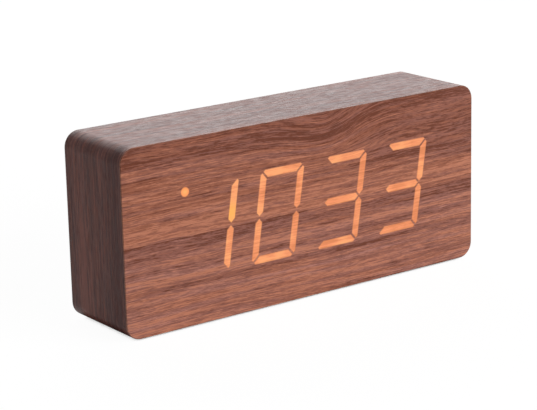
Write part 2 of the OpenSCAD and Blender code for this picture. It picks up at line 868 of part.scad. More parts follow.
module main_pcb_screws() {
    color([0.7, 0.7, 0.72])
    for (p = main_screws_at)
        screw(p, main_front_y, -1, board_head_r, board_head_h, board_shaft_r, pcb_t + post_grip);
}

module microcontroller() {
    color([0.12, 0.12, 0.13]) chip([main_x, 0], controller_l, main_front_y, -1);
}

module crystal() {
    color([0.75, 0.76, 0.78])
    slab(main_front_y - crystal_h, main_front_y) translate([main_x - crystal_x, 0]) {
        square([crystal_w, crystal_l - crystal_w], center = true);
        for (side = [-1, 1])
            translate([0, side * (crystal_l - crystal_w) / 2]) circle(d = crystal_w);
    }
}

module capacitors() {
    color([0.15, 0.17, 0.3])
    for (k = [0, 1])
        rod([main_x + capacitor_x + k * capacitor_pitch, 0], capacitor_r, main_front_y - capacitor_h, main_front_y);
}

module voltage_regulator() {
    color([0.12, 0.12, 0.13])
    slab(main_front_y - regulator_h, main_front_y)
        translate([main_x, -regulator_drop]) square([regulator_l, regulator_w], center = true);
}

module buzzer() {
    color([0.1, 0.1, 0.1])
    difference() {
        rod(buzzer_at, buzzer_r, main_rear_y, main_rear_y + buzzer_h);
        rod(buzzer_at, buzzer_port_r, main_rear_y + buzzer_h - buzzer_port_depth, main_rear_y + buzzer_h + cut);
    }
}

module microphone() {
    top_y = cover_front_y - microphone_gap;
    color([0.72, 0.73, 0.75]) {
        rod(microphone_at, microphone_r, top_y - microphone_h, top_y);
        for (side = [-1, 1])
            rod(microphone_at + [side * microphone_wire_pitch / 2, 0], microphone_wire_r,
                main_rear_y, top_y - microphone_h);
    }
}

module dc_jack() {
    color([0.09, 0.09, 0.09])
    difference() {
        union() {
            slab(main_rear_y, main_rear_y + jack_base_h) translate(jack_at) square(jack_base_w, center = true);
            rod(jack_at, jack_r, main_rear_y, jack_face_y);
        }
        rod(jack_at, jack_bore_r, jack_face_y - jack_bore_depth, jack_face_y + cut);
    }
}

module dc_jack_pin() {
    color([0.8, 0.8, 0.8])
    rod(jack_at, jack_pin_r, jack_face_y - jack_bore_depth, jack_face_y - jack_pin_sink);
}

module switch_bases() {
    color([0.14, 0.14, 0.15])
    for (p = buttons_at)
        difference() {
            slab(main_rear_y, main_rear_y + push_h) translate(p) square(push_w, center = true);
            rod(p, plunger_r + plunger_gap, main_rear_y + push_floor_t, main_rear_y + push_h + cut);
        }
}

// Sheet metal folded over each push switch, down to the board on two sides
module switch_frames() {
    color([0.78, 0.78, 0.8])
    for (p = buttons_at)
        difference() {
            slab(main_rear_y, push_top_y) translate(p) square([push_w + 2 * push_sheet_t, push_w], center = true);
            slab(main_rear_y - cut, main_rear_y + push_h)
                translate(p) square([push_w, push_w + 2 * cut], center = true);
            rod(p, plunger_r + plunger_gap, main_rear_y, push_top_y + cut);
        }
}

module plunger(at) {
    color([0.16, 0.16, 0.17])
    rod(at, plunger_r, main_rear_y + push_floor_t + plunger_room, plunger_top_y);
}

module set_plunger() {
    plunger(set_at);
}

module up_plunger() {
    plunger(up_at);
}

module down_plunger() {
    plunger(down_at);
}

module slide_switch_body() {
    color([0.75, 0.76, 0.78])
    difference() {
        slab(main_rear_y, main_rear_y + slide_h) translate(slide_at) square([slide_l, slide_w], center = true);
        slab(main_rear_y + slide_floor_t, main_rear_y + slide_h + cut)
            translate(slide_at) square(knob_slot, center = true);
    }
}

// The knob rests at the left end of its slot
module slide_switch_knob() {
    at = slide_at - [slide_travel / 2, 0];
    color([0.13, 0.13, 0.13]) {
        slab(main_rear_y + slide_floor_t + knob_gap, proud_y) translate(at) square(knob_w, center = true);
        slab(collar_front_y, collar_rear_y) translate(at) square([knob_plate_l, knob_plate_w], center = true);
    }
}

module ribbon_sockets() {
    color([0.9, 0.88, 0.8]) {
        slab(display_rear_y, ribbon_start_y)
            translate([display_socket_x, 0]) square([socket_t, socket_l], center = true);
        slab(ribbon_end_y, main_front_y)
            translate([main_socket_x, 0]) square([socket_t, socket_l], center = true);
    }
}

// The ribbon leaves the display's socket, bends to the right and turns back to the main board's socket
module ribbon_cable() {
    middle_y = (ribbon_start_y + ribbon_end_y) / 2;
    first = [display_socket_x + ribbon_r, middle_y - ribbon_r];
    second = [main_socket_x - ribbon_r, middle_y + ribbon_r];
    wide = ribbon_r + ribbon_t / 2;
    tight = ribbon_r - ribbon_t / 2;
    left = concat(
        [[display_socket_x - ribbon_t / 2, ribbon_start_y]],
        arc(first, wide, 180, 90),
        arc(second, tight, -90, 0),
        [[main_socket_x - ribbon_t / 2, ribbon_end_y]]
    );
    right = concat(
        [[display_socket_x + ribbon_t / 2, ribbon_start_y]],
        arc(first, tight, 180, 90),
        arc(second, wide, -90, 0),
        [[main_socket_x + ribbon_t / 2, ribbon_end_y]]
    );
    color([0.75, 0.75, 0.76])
    translate([0, 0, mid_z]) linear_extrude(ribbon_w, center = true) polygon(concat(left, backwards(right)));
}

// A wire from the solder tab beside a cell, along the case and back into the main board
module battery_lead(level) {
    bend_x = wire_end_x - wire_bend_r;
    translate([0, 0, mid_z + level]) {
        translate([wire_start_x, wire_y, 0]) rotate([0, 90, 0]) cylinder(r = wire_r, h = bend_x - wire_start_x);
        translate([bend_x, wire_y + wire_bend_r, 0]) rotate([0, 0, -90])
            rotate_extrude(angle = 90) translate([wire_bend_r, 0]) circle(wire_r);
        translate([wire_end_x, wire_y + wire_bend_r, 0]) rotate([-90, 0, 0])
            cylinder(r = wire_r, h = main_front_y - wire_y - wire_bend_r);
    }
}

module battery_lead_red() {
    color([0.7, 0.08, 0.06]) battery_lead(cell_z(0));
}

module battery_lead_black() {
    color([0.08, 0.08, 0.08]) battery_lead(cell_z(cell_count - 1));
}

module rear_cover() {
    color([0.12, 0.12, 0.125])
    difference() {
        union() {
            slab(cover_front_y, cover_rear_y) rounded_rect(cover_w, cover_h, cover_r);
            for (p = main_screws_at)
                rod(p, post_r, main_rear_y, cover_front_y);
        }
        battery_door_cuts();
        control_cuts();
        for (p = cover_screws_at) {
            rod(p, cover_shaft_r + screw_clearance, cover_front_y - cut, cover_rear_y + cut);
            rod(p, cover_head_r + screw_clearance, cover_rear_y - cover_screw_sink, cover_rear_y + cut);
        }
        for (p = main_screws_at)
            rod(p, board_shaft_r + thread_clearance, main_rear_y - cut, main_rear_y + post_grip + tip_room);
    }
}

// The way to the cells, the step and hinge holes for the door, and the finger notch
module battery_door_cuts() {
    slab(cover_front_y - cut, cover_rear_y + cut) bay_outline();
    slab(door_inner_y - door_seat_gap, cover_rear_y + cut)
        translate([bay_x, 0]) square([pocket_w, pocket_h], center = true);
    translate([bay_x, hinge_y, mid_z + hinge_z]) rotate([0, 90, 0])
        cylinder(r = hinge_pin_r + hinge_gap, h = hinge_span + 2 * door_gap, center = true);
    rod([bay_x, -pocket_h / 2], notch_r, cover_rear_y - notch_depth, cover_rear_y + cut);
}

module bay_outline(wall = 0) {
    translate([bay_x, 0]) square([bay_l + 2 * wall, bay_h + 2 * wall], center = true);
}

// The tray behind the rear cover that holds the cells, with a slot in its floor for each solder tab
module battery_tray() {
    color([0.12, 0.12, 0.125])
    difference() {
        slab(bay_bottom_y, cover_front_y) bay_outline(bay_wall);
        slab(bay_floor_y, cover_front_y + cut) bay_outline();
        slab(bay_bottom_y - cut, bay_floor_y + cut)
            for (k = [0, cell_count - 1])
                translate([tab_x - tab_gap / 2, cell_z(k)])
                    square([plate_t + tab_gap, tab_w + 2 * tab_gap], center = true);
    }
}

// Holes for the buttons, the slide switch, the power socket and the sound
module control_cuts() {
    from_y = cover_front_y - cut;
    to_y = cover_rear_y + cut;
    for (p = buttons_at)
        rod(p, button_r + button_gap, from_y, to_y);
    slab(from_y, to_y) translate(slide_at) square(knob_slot, center = true);
    rod(jack_at, jack_r + jack_gap, from_y, to_y);
    rod(microphone_at, sound_hole_r, from_y, to_y);
    rod(buzzer_at, sound_hole_r, from_y, to_y);
    for (a = [0 : 60 : 300])
        rod(buzzer_at + sound_ring_r * [cos(a), sin(a)], sound_hole_r, from_y, to_y);
}

module cover_screws() {
    seat_y = cover_rear_y - cover_screw_sink;
    color([0.7, 0.7, 0.72])
    for (p = cover_screws_at)
        screw(p, seat_y, 1, cover_head_r, cover_head_h, cover_shaft_r, seat_y - cover_front_y + cover_grip);
}

module button(at) {
    color([0.13, 0.13, 0.13]) {
        turned(at) polygon([
            [0, collar_front_y],
            [button_r + collar_w, collar_front_y],
            [button_r + collar_w, collar_rear_y],
            [button_r, collar_rear_y],
            [button_r, proud_y - button_ease],
            [button_r - button_ease, proud_y],
            [0, proud_y]
        ]);
        rod(at, stem_r, plunger_top_y, collar_rear_y);
    }
}

module set_button() {
    button(set_at);
}

module up_button() {
    button(up_at);
}

module down_button() {
    button(down_at);
}

// The door swings up on two pins at the ends of its rounded upper edge
module battery_door() {
    color([0.12, 0.12, 0.125])
    translate([bay_x, 0, 0]) {
        slab(door_inner_y, cover_rear_y)
            translate([-door_w / 2, -door_h / 2]) square([door_w, hinge_z + door_h / 2]);
        translate([0, hinge_y, mid_z + hinge_z]) rotate([0, 90, 0]) {
            cylinder(r = door_t / 2, h = door_w, center = true);
            cylinder(r = hinge_pin_r, h = hinge_span, center = true);
        }
        slab(cover_rear_y, cover_rear_y + ridge_h)
            for (k = [0 : ridge_count - 1])
                translate([0, ridge_start + k * ridge_pitch - door_h / 2]) square([ridge_l, ridge_w], center = true);
    }
}

// A contact plate at one end of the bay, across the cells from first to last
module contact_plate(side, first, last) {
    middle_z = (cell_z(first) + cell_z(last)) / 2;
    slab(bay_floor_y, bay_floor_y + plate_h)
        translate([bay_x + side * (bay_l - plate_t) / 2, middle_z])
            square([plate_t, cell_z(last) - cell_z(first) + plate_w], center = true);
}

module battery_contacts() {
    last = cell_count - 1;
    color([0.8, 0.78, 0.72]) {
        for (k = [0 : 2 : last])
            contact_plate(-1, k, k + 1);
        for (k = [1 : 2 : last - 1])
            contact_plate(1, k, k + 1);
        for (k = [0, last]) {
            contact_plate(1, k, k);
            slab(wire_y - tab_reach, bay_floor_y) translate([tab_x, cell_z(k)]) square([plate_t, tab_w], center = true);
        }
    }
}

module battery_springs() {
    rings = len(spring_points);
    points = [for (k = [0 : rings - 1]) each wire_ring(spring_points, k, spring_wire / 2)];
    sides = [
        for (k = [0 : rings - 2], j = [0 : WIRE_SIDES - 1])
            let (a = k * WIRE_SIDES + j, b = k * WIRE_SIDES + (j + 1) % WIRE_SIDES)
            each [[a, a + WIRE_SIDES, b + WIRE_SIDES], [a, b + WIRE_SIDES, b]]
    ];
    end = (rings - 1) * WIRE_SIDES;
    caps = [for (j = [1 : WIRE_SIDES - 2]) each [[0, j, j + 1], [end, end + j + 1, end + j]]];
    color([0.8, 0.78, 0.72])
    for (k = [0 : cell_count - 1]) {
        way = cell_way(k);
        translate([bay_x - way * (bay_l / 2 - plate_t), cell_y, mid_z + cell_z(k)])
            rotate([0, 0, way > 0 ? 0 : 180])
                polyhedron(points, concat(sides, caps));
    }
}

module battery_cells() {
    cell_r = cell_d / 2;
    color([0.75, 0.5, 0.2])
    for (k = [0 : cell_count - 1]) {
        way = cell_way(k);
        translate([bay_x + way * (bay_l / 2 - plate_t), cell_y, mid_z + cell_z(k)])
            rotate([0, -90 * way, 0]) rotate_extrude() polygon([
                [0, 0],
                [nub_r, 0],
                [nub_r, nub_l],
                [cell_r - cell_ease, nub_l],
                [cell_r, nub_l + cell_ease],
                [cell_r, cell_l - cell_ease],
                [cell_r - cell_ease, cell_l],
                [0, cell_l]
            ]);
    }
}

case_frame();
front_board();
front_veneer();
wrap_veneer();
rear_veneer();
rubber_feet();
hour_tens_segments();
hour_units_segments();
minute_tens_segments();
minute_units_segments();
indicator_dot();
diffuser_sheet();
light_box();
display_pcb();
segment_leds();
led_drivers();
display_screws();
main_pcb();
main_pcb_screws();
microcontroller();
crystal();
capacitors();
voltage_regulator();
buzzer();
microphone();
dc_jack();
dc_jack_pin();
switch_bases();
switch_frames();
set_plunger();
up_plunger();
down_plunger();
slide_switch_body();
slide_switch_knob();
ribbon_sockets();
ribbon_cable();
battery_lead_red();
battery_lead_black();
rear_cover();
battery_tray();
cover_screws();
set_button();
up_button();
down_button();
battery_door();
battery_contacts();
battery_springs();
battery_cells();
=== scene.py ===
# %% [markdown]
# Wooden digital alarm clock.
# The clock is a box of fibreboard covered in walnut veneer. Amber digits shine through the veneer on its
# front, and the buttons, the power socket and the battery door sit on a black cover at the back. The
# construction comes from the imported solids, which are loaded first and never moved. This file dresses
# them.

# %% Load the solids and keep their box
import math

import bmesh
import bpy
from mathutils import Matrix, Vector


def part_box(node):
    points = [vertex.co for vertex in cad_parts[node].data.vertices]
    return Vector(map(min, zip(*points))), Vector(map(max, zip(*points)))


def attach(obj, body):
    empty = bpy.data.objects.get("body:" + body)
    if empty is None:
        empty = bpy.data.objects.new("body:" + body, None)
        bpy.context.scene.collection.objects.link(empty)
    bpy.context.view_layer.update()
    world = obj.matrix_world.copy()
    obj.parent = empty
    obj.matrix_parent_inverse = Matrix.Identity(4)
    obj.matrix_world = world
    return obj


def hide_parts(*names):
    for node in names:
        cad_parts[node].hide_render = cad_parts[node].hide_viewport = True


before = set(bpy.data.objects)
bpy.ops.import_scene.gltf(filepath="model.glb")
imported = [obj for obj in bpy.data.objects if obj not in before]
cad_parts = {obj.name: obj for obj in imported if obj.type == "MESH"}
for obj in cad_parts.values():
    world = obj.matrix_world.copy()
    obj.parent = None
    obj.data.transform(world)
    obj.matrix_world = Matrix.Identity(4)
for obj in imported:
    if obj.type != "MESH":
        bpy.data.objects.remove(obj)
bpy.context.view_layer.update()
scene = bpy.context.scene
MM = 0.001


# %% [markdown]
# Camera.
# A photograph taken from further away with a longer lens has calmer perspective than one taken close up.
# The focal length and the place were found by matching the corners of the case, so both are kept as
# measured: the lens in pixels of the photograph's width, and the place in millimetres from under the
# middle of the clock.

# %% Camera at the photograph's viewpoint
IMAGE_WIDTH = 537
FOCAL_PIXELS = 1993.7
SENSOR = 36.0
CAMERA_AT = Vector((-559.8, -755.3, 300.9)) * MM
CAMERA_YAW = math.radians(-36.243)
CAMERA_DOWN = math.radians(15.4)
CAMERA_ROLL = math.radians(-1.354)


def place_camera():
    lens = bpy.data.cameras.new("camera")
    lens.sensor_width = SENSOR
    lens.lens = FOCAL_PIXELS * SENSOR / IMAGE_WIDTH
    camera = bpy.data.objects.new("camera", lens)
    turn = Matrix.Rotation(CAMERA_YAW, 4, "Z")
    tilt = Matrix.Rotation(math.pi / 2 - CAMERA_DOWN, 4, "X")
    roll = Matrix.Rotation(CAMERA_ROLL, 4, "Z")
    camera.matrix_world = Matrix.Translation(CAMERA_AT) @ turn @ tilt @ roll
    scene.collection.objects.link(camera)
    scene.camera = camera
    return camera


print("lens in mm:", round(place_camera().data.lens, 1))

# %% [markdown]
# Node helpers.
# A material is a graph of nodes. Writing each link by hand is slow, so a few helpers do it: one fills or
# joins sockets, one places a node, others do arithmetic, blend colours or make noise. Long thin noise is
# the one that matters most here, because wood grain and brushed metal are both made of it.


# %% Helpers that place nodes and do arithmetic
def fill(tree, sockets, joins):
    for socket, value in joins.items():
        if isinstance(value, bpy.types.NodeSocket):
            tree.links.new(value, sockets[socket])
        else:
            sockets[socket].default_value = value


def put(tree, kind, joins=None, **settings):
    item = tree.nodes.new(kind)
    for name, value in settings.items():
        setattr(item, name, value)
    fill(tree, item.inputs, joins or {})
    return item


def maths(tree, operation, *values):
    return put(tree, "ShaderNodeMath", dict(enumerate(values)), operation=operation).outputs[0]


def ramp(tree, value, low, high, to_low=0.0, to_high=1.0):
    joins = {"Value": value, "From Min": low, "From Max": high, "To Min": to_low, "To Max": to_high}
    return put(tree, "ShaderNodeMapRange", joins, interpolation_type="SMOOTHSTEP").outputs[0]


def blend(tree, share, first, second, blend_type="MIX"):
    joins = {0: share, 6: first, 7: second}
    return put(tree, "ShaderNodeMix", joins, data_type="RGBA", blend_type=blend_type).outputs[2]


def shade(tree, tint, light):
    grey = put(tree, "ShaderNodeCombineColor", {0: light, 1: light, 2: light}).outputs[0]
    return blend(tree, 1.0, tint, grey, "MULTIPLY")


def object_place(tree):
    return put(tree, "ShaderNodeTexCoord").outputs["Object"]


def axes_of(tree, place):
    return put(tree, "ShaderNodeSeparateXYZ", {0: place}).outputs


def point(tree, x, y, z):
    return put(tree, "ShaderNodeCombineXYZ", {0: x, 1: y, 2: z}).outputs[0]


print("helpers for arithmetic ready")


# %% Helpers that make noise, groups and finishes
def noise(tree, place, scale, detail):
    return put(tree, "ShaderNodeTexNoise", {"Vector": place, "Scale": scale, "Detail": detail}).outputs[0]


def speckle(tree, place, size, detail=2.0):
    return noise(tree, place, 1 / size, detail)


def streaks(tree, place, length, width, detail=2.0):
    counts = (1 / length, 1 / width, 1.0)
    stretched = put(tree, "ShaderNodeVectorMath", {0: place, 1: counts}, operation="MULTIPLY").outputs[0]
    return noise(tree, stretched, 1.0, detail)


def sway(tree, place, length, width, detail=2.0):
    return maths(tree, "SUBTRACT", streaks(tree, place, length, width, detail), 0.5)


def start_group(name, given, made):
    group = bpy.data.node_groups.new(name, "ShaderNodeTree")
    for way, sockets in (("INPUT", given), ("OUTPUT", made)):
        for socket, kind in sockets.items():
            group.interface.new_socket(socket, in_out=way, socket_type="NodeSocket" + kind)
    return group, group.nodes.new("NodeGroupInput").outputs, group.nodes.new("NodeGroupOutput").inputs


def use(tree, group, **joins):
    named = {name.replace("_", " ").capitalize(): value for name, value in joins.items()}
    return put(tree, "ShaderNodeGroup", named, node_tree=group).outputs


def new_finish(name):
    finish = bpy.data.materials.new(name)
    finish.use_nodes = True
    return finish, finish.node_tree, finish.node_tree.nodes["Principled BSDF"].inputs


def join_bump(tree, shader, height, depth):
    bump = put(tree, "ShaderNodeBump", {"Height": height, "Distance": depth, "Strength": 1.0})
    tree.links.new(bump.outputs[0], shader["Normal"])


def colour(red, green, blue):
    return (red, green, blue, 1.0)


def dress(finish, *nodes):
    for node in nodes:
        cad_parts[node].data.materials[0] = finish


print("helpers for noise, groups and finishes ready")

# %% [markdown]
# Studio.
# The photograph shows the clock on plain white. A floor that is only a very bright surface would also
# light the clock from below, so the white that the camera sees comes from the Light Path node instead:
# rays from the camera, and mirror-like or see-through rays, meet white, while the light that falls on the
# clock stays moderate. Part of the floor's own shading is kept, so the clock still stands on a soft
# shadow. The strong lamp in front is left out of reflections: from behind, its image would hide the wood
# of the top.

# %% World and floor
AMBIENT = 0.06
WHITE = colour(1, 1, 1)
FLOOR_SIZE = 8.0
FLOOR_GREY = colour(0.6, 0.6, 0.6)
FLOOR_WHITE = 1.12
FLOOR_WHITE_SHARE = 0.86
# How far around itself a spot of floor looks for the clock
CONTACT_REACH = 12 * MM
# How open a spot is where its white starts and where it is full, to the camera and in reflections
SEEN_OPENNESS = (0.02, 0.12)
MIRRORED_OPENNESS = (0.5, 0.95)


def ray_kinds(tree):
    path = put(tree, "ShaderNodeLightPath").outputs
    mirrored = maths(tree, "MAXIMUM", path["Is Glossy Ray"], path["Is Transmission Ray"])
    return path["Is Camera Ray"], mirrored


def make_world():
    world = bpy.data.worlds.new("studio")
    world.use_nodes = True
    tree = world.node_tree
    seen = maths(tree, "MAXIMUM", *ray_kinds(tree))
    strength = maths(tree, "MULTIPLY_ADD", seen, 1 - AMBIENT, AMBIENT)
    fill(tree, tree.nodes["Background"].inputs, {"Strength": strength, "Color": WHITE})
    scene.world = world


def floor_finish():
    finish, tree, shader = new_finish("floor_white")
    fill(tree, shader, {"Base Color": FLOOR_GREY, "Roughness": 0.9, "Specular IOR Level": 0.1})
    nearby = put(tree, "ShaderNodeAmbientOcclusion", {"Distance": CONTACT_REACH}, samples=12)
    openness = nearby.outputs["AO"]
    camera, mirrored = ray_kinds(tree)
    seen_white = ramp(tree, openness, *SEEN_OPENNESS, 0.0, FLOOR_WHITE_SHARE)
    mirrored_white = ramp(tree, openness, *MIRRORED_OPENNESS, 0.0, FLOOR_WHITE_SHARE)
    in_mirrors = maths(tree, "MULTIPLY", mirrored, mirrored_white)
    share = maths(tree, "MULTIPLY_ADD", camera, seen_white, in_mirrors)
    white = put(tree, "ShaderNodeEmission", {"Color": WHITE, "Strength": FLOOR_WHITE}).outputs[0]
    lit = tree.nodes["Principled BSDF"].outputs[0]
    both = put(tree, "ShaderNodeMixShader", {0: share, 1: lit, 2: white}).outputs[0]
    tree.links.new(both, tree.nodes["Material Output"].inputs["Surface"])
    return finish


def make_floor():
    shape = bmesh.new()
    bmesh.ops.create_grid(shape, x_segments=2, y_segments=2, size=FLOOR_SIZE / 2)
    mesh = bpy.data.meshes.new("floor")
    shape.to_mesh(mesh)
    shape.free()
    mesh.materials.append(floor_finish())
    floor = bpy.data.objects.new("floor", mesh)
    scene.collection.objects.link(floor)


scene.view_settings.view_transform = "Standard"
make_world()
make_floor()
print("world and floor ready, ambient level", AMBIENT)

# %% Lamps
LIT_POINT = Vector((0, 0, 0.045))
# Place, width and height in metres, power in watts, and whether reflections show the lamp
SOFTBOXES = {
    "key_softbox": (Vector((1.1, -2.1, 0.75)), 2.5, 1.4, 65.0, False),
    "back_softbox": (Vector((0.6, 1.5, 1.0)), 1.8, 1.4, 12.0, True),
}


def add_softbox(name, at, width, height, watts, in_reflections):
    lamp = bpy.data.lights.new(name, "AREA")
    lamp.shape = "RECTANGLE"
    lamp.size = width
    lamp.size_y = height
    lamp.energy = watts
    box = bpy.data.objects.new(name, lamp)
    box.location = at
    box.visible_glossy = in_reflections
    box.rotation_euler = (LIT_POINT - at).to_track_quat("-Z", "Y").to_euler()
    scene.collection.objects.link(box)


for name, values in SOFTBOXES.items():
    add_softbox(name, *values)
print("lamps:", list(SOFTBOXES))

# %% [markdown]
# Walnut veneer.
# Veneer is a thin slice of wood. Its figure is the growth rings of the tree, cut lengthwise: each ring
# darkens slowly and ends in a sharp line, and over that lie fine fibres and short open pores. A picture
# of wood would repeat and stretch, so the figure is worked out from the place on the sheet: a slow wander
# bends the rings, a saw-tooth gives them their sharp ends, and noise at several sizes gives the fibres.
# Front, wrap and back edge share the group, and differ in where on the tree their sheet was cut and in
# how it was stained and varnished.

# %% Fibres, bands and rings
# Length, width, detail and weight of each size of fibre and band
SHORT_FIBRES = (
    (2.2 * MM, 0.6 * MM, 1.0, 0.45),
    (7 * MM, 0.45 * MM, 2.0, 1.25),
)
LONG_FIBRES = (
    (30 * MM, 0.7 * MM, 2.0, 1.3),
    (70 * MM, 1.8 * MM, 1.0, 0.62),
)
BROAD_BANDS = (
    (190 * MM, 6.0 * MM, 1.0, 0.5),
    (260 * MM, 16.0 * MM, 0.0, 0.5),
)
# How far the line of the strong ring, the dark wood under it and the light wood over it reach
LINE_REACH = 0.7 * MM
LATE_REACH = 4 * MM
EARLY_REACH = 5 * MM
# How strongly it shows beside the common rings
STRONG_DEPTH = 0.72
# How far apart the common rings lie, and by how many rings they drift
RING_STEP = 6 * MM
RING_DRIFT = 3.0
# Length and width of the streaks that make the common rings drift, and come and go
DRIFT_STREAKS = (300 * MM, 21 * MM)
SHARE_STREAKS = (150 * MM, 12 * MM)


def fibre_sum(tree, grain, fibres):
    total = 0.0
    for length, width, detail, weight in fibres:
        total = maths(tree, "MULTIPLY_ADD", sway(tree, grain, length, width, detail), weight, total)
    return total


def fade(tree, distance, reach):
    return maths(tree, "EXPONENT", maths(tree, "DIVIDE", distance, reach))


def strong_ring(tree, height, above):
    below = maths(tree, "SUBTRACT", 1.0, above)
    under = maths(tree, "MINIMUM", height, 0.0)
    over = maths(tree, "MAXIMUM", height, 0.0)
    line = maths(tree, "MULTIPLY", below, fade(tree, under, LINE_REACH))
    late_wood = maths(tree, "MULTIPLY_ADD", below, fade(tree, under, LATE_REACH), line)
    early_wood = maths(tree, "MULTIPLY", above, fade(tree, over, -EARLY_REACH))
    return maths(tree, "MULTIPLY", maths(tree, "SUBTRACT", late_wood, early_wood), STRONG_DEPTH)


def common_rings(tree, grain, across):
    drift = streaks(tree, grain, *DRIFT_STREAKS)
    phase = maths(tree, "MULTIPLY_ADD", drift, RING_DRIFT, maths(tree, "DIVIDE", across, RING_STEP))
    saw_tooth = maths(tree, "POWER", maths(tree, "FRACT", phase), 2.0)
    share = ramp(tree, streaks(tree, grain, *SHARE_STREAKS), 0.35, 0.7)
    return maths(tree, "MULTIPLY", saw_tooth, share)


print("sizes of fibre and band:", len(SHORT_FIBRES + LONG_FIBRES + BROAD_BANDS))

# %% Node group: walnut veneer
# Length and width of the swings that bend the grain, and how far they bend it
WANDER = (160 * MM, 42 * MM)
WANDER_DEPTH = 9 * MM
RIPPLE = (26 * MM, 7 * MM)
RIPPLE_DEPTH = 0.9 * MM
# Tone of the plain wood, where 0 is dark and 1 is light
MIDDLE_TONE = 0.58
# Length and width of pores, warm streaks, fine lines, patches of varnish and uneven places
PORES = (7 * MM, 0.28 * MM, 1.0)
WARM_STREAKS = (60 * MM, 2.2 * MM)
FINE_LINES = (18 * MM, 0.4 * MM)
VARNISH_PATCHES = (2.2 * MM, 0.8 * MM)
UNEVEN_PLACES = (4 * MM, 0.8 * MM, 1.0)
# How much darker a pore is
PORE_SHADE = 0.3
# How much warmer the wood is above the strong ring, and where its tone is light
WARM_ABOVE = 0.16
WARM_LIGHT = 0.62
# Roughness of the varnish, and how much it differs from patch to patch and from line to line
VARNISH = 0.27
UNEVEN_VARNISH = 0.44
LINED_VARNISH = 0.16
# Height of the uneven places and of the fine lines, as a multiple of the depth of the pores
RELIEF = 7
LINE_RELIEF = 0.5


def walnut_colour(group, given, grain, tone, pores, above):
    lower = blend(group, ramp(group, tone, 0.0, 0.5), given["Dark"], given["Middle"])
    full = blend(group, ramp(group, tone, 0.5, 1.0), lower, given["Light"])
    pored = shade(group, full, maths(group, "MULTIPLY_ADD", pores, -PORE_SHADE, 1.0))
    warmth = maths(group, "MULTIPLY_ADD", above, WARM_ABOVE, streaks(group, grain, *WARM_STREAKS))
    warmth = maths(group, "MULTIPLY_ADD", tone, WARM_LIGHT, warmth)
    tint = blend(group, ramp(group, warmth, 0.65, 1.18), given["Cool"], given["Warm"])
    return blend(group, 1.0, pored, tint, "MULTIPLY")


def make_walnut():
    sockets = {"Grain": "Vector", "Dark": "Color", "Middle": "Color", "Light": "Color", "Cool": "Color",
               "Warm": "Color", "Ring depth": "Float", "Wave": "Float", "Long fibres": "Float",
               "Short fibres": "Float", "Bands": "Float", "Lift": "Float"}
    made_sockets = {"Color": "Color", "Tone": "Float", "Roughness": "Float", "Height": "Float"}
    group, given, made = start_group("walnut_veneer", sockets, made_sockets)
    along, height, sheet = axes_of(group, given["Grain"])
    bend = maths(group, "MULTIPLY", sway(group, given["Grain"], *RIPPLE), RIPPLE_DEPTH)
    bend = maths(group, "MULTIPLY_ADD", sway(group, given["Grain"], *WANDER), WANDER_DEPTH, bend)
    across = maths(group, "MULTIPLY_ADD", bend, given["Wave"], height)
    grain = point(group, along, across, sheet)
    above = maths(group, "SUBTRACT", 1.0, maths(group, "LESS_THAN", height, 0.0))
    rings = maths(group, "ADD", common_rings(group, grain, across), strong_ring(group, height, above))

    tone = maths(group, "ADD", given["Lift"], MIDDLE_TONE)
    tone = maths(group, "SUBTRACT", tone, maths(group, "MULTIPLY", rings, given["Ring depth"]))
    fibre_kinds = {"Long fibres": LONG_FIBRES, "Short fibres": SHORT_FIBRES, "Bands": BROAD_BANDS}
    for share, fibres in fibre_kinds.items():
        tone = maths(group, "MULTIPLY_ADD", fibre_sum(group, grain, fibres), given[share], tone)
    pores = ramp(group, streaks(group, grain, *PORES), 0.56, 0.72)
    tint = walnut_colour(group, given, grain, tone, pores, above)

    lines = streaks(group, grain, *FINE_LINES)
    patches = sway(group, given["Grain"], *VARNISH_PATCHES)
    varnish = maths(group, "MULTIPLY_ADD", patches, UNEVEN_VARNISH, VARNISH)
    varnish = maths(group, "MULTIPLY_ADD", lines, LINED_VARNISH, varnish)
    relief = maths(group, "MULTIPLY", streaks(group, grain, *UNEVEN_PLACES), RELIEF)
    relief = maths(group, "MULTIPLY_ADD", lines, LINE_RELIEF, relief)
    relief = maths(group, "SUBTRACT", relief, pores)
    fill(group, made, {"Color": tint, "Tone": tone, "Roughness": varnish, "Height": relief})
    return group


walnut = make_walnut()
print("node group:", walnut.name, "with", len(walnut.nodes), "nodes")

# %% [markdown]
# Edge wear and painted edge highlight.
# Edges are touched most, so varnish and texture wear thin there. The lighter colour they are given is
# partly that wear and partly a painted highlight, standing in for the light a rounded edge would catch.
# The Bevel node knows where an edge is: near one, the normal that it rounds over turns away from the flat
# normal, and the angle between the two makes a mask. Veneer wears over a wider edge than fibreboard,
# plastic and rubber do, so the radius is an input of the group.

# %% Node group: edge wear and painted edge highlight
# Cosine of the angle between the normals where wear and painted highlight start and where they are full
WEAR_AND_HIGHLIGHT_STARTS = 0.995
WEAR_AND_HIGHLIGHT_FULL = 0.86


def make_edge_wear_and_highlight():
    group, given, made = start_group("edge_wear_and_highlight", {"Radius": "Float"}, {"Mask": "Float"})
    rounded = put(group, "ShaderNodeBevel", {"Radius": given["Radius"]}, samples=6).outputs[0]
    flat = put(group, "ShaderNodeNewGeometry").outputs["Normal"]
    compare = put(group, "ShaderNodeVectorMath", {0: rounded, 1: flat}, operation="DOT_PRODUCT")
    group.links.new(ramp(group, compare.outputs["Value"], WEAR_AND_HIGHLIGHT_STARTS, WEAR_AND_HIGHLIGHT_FULL), made["Mask"])
    return group


edge_wear_and_highlight = make_edge_wear_and_highlight()


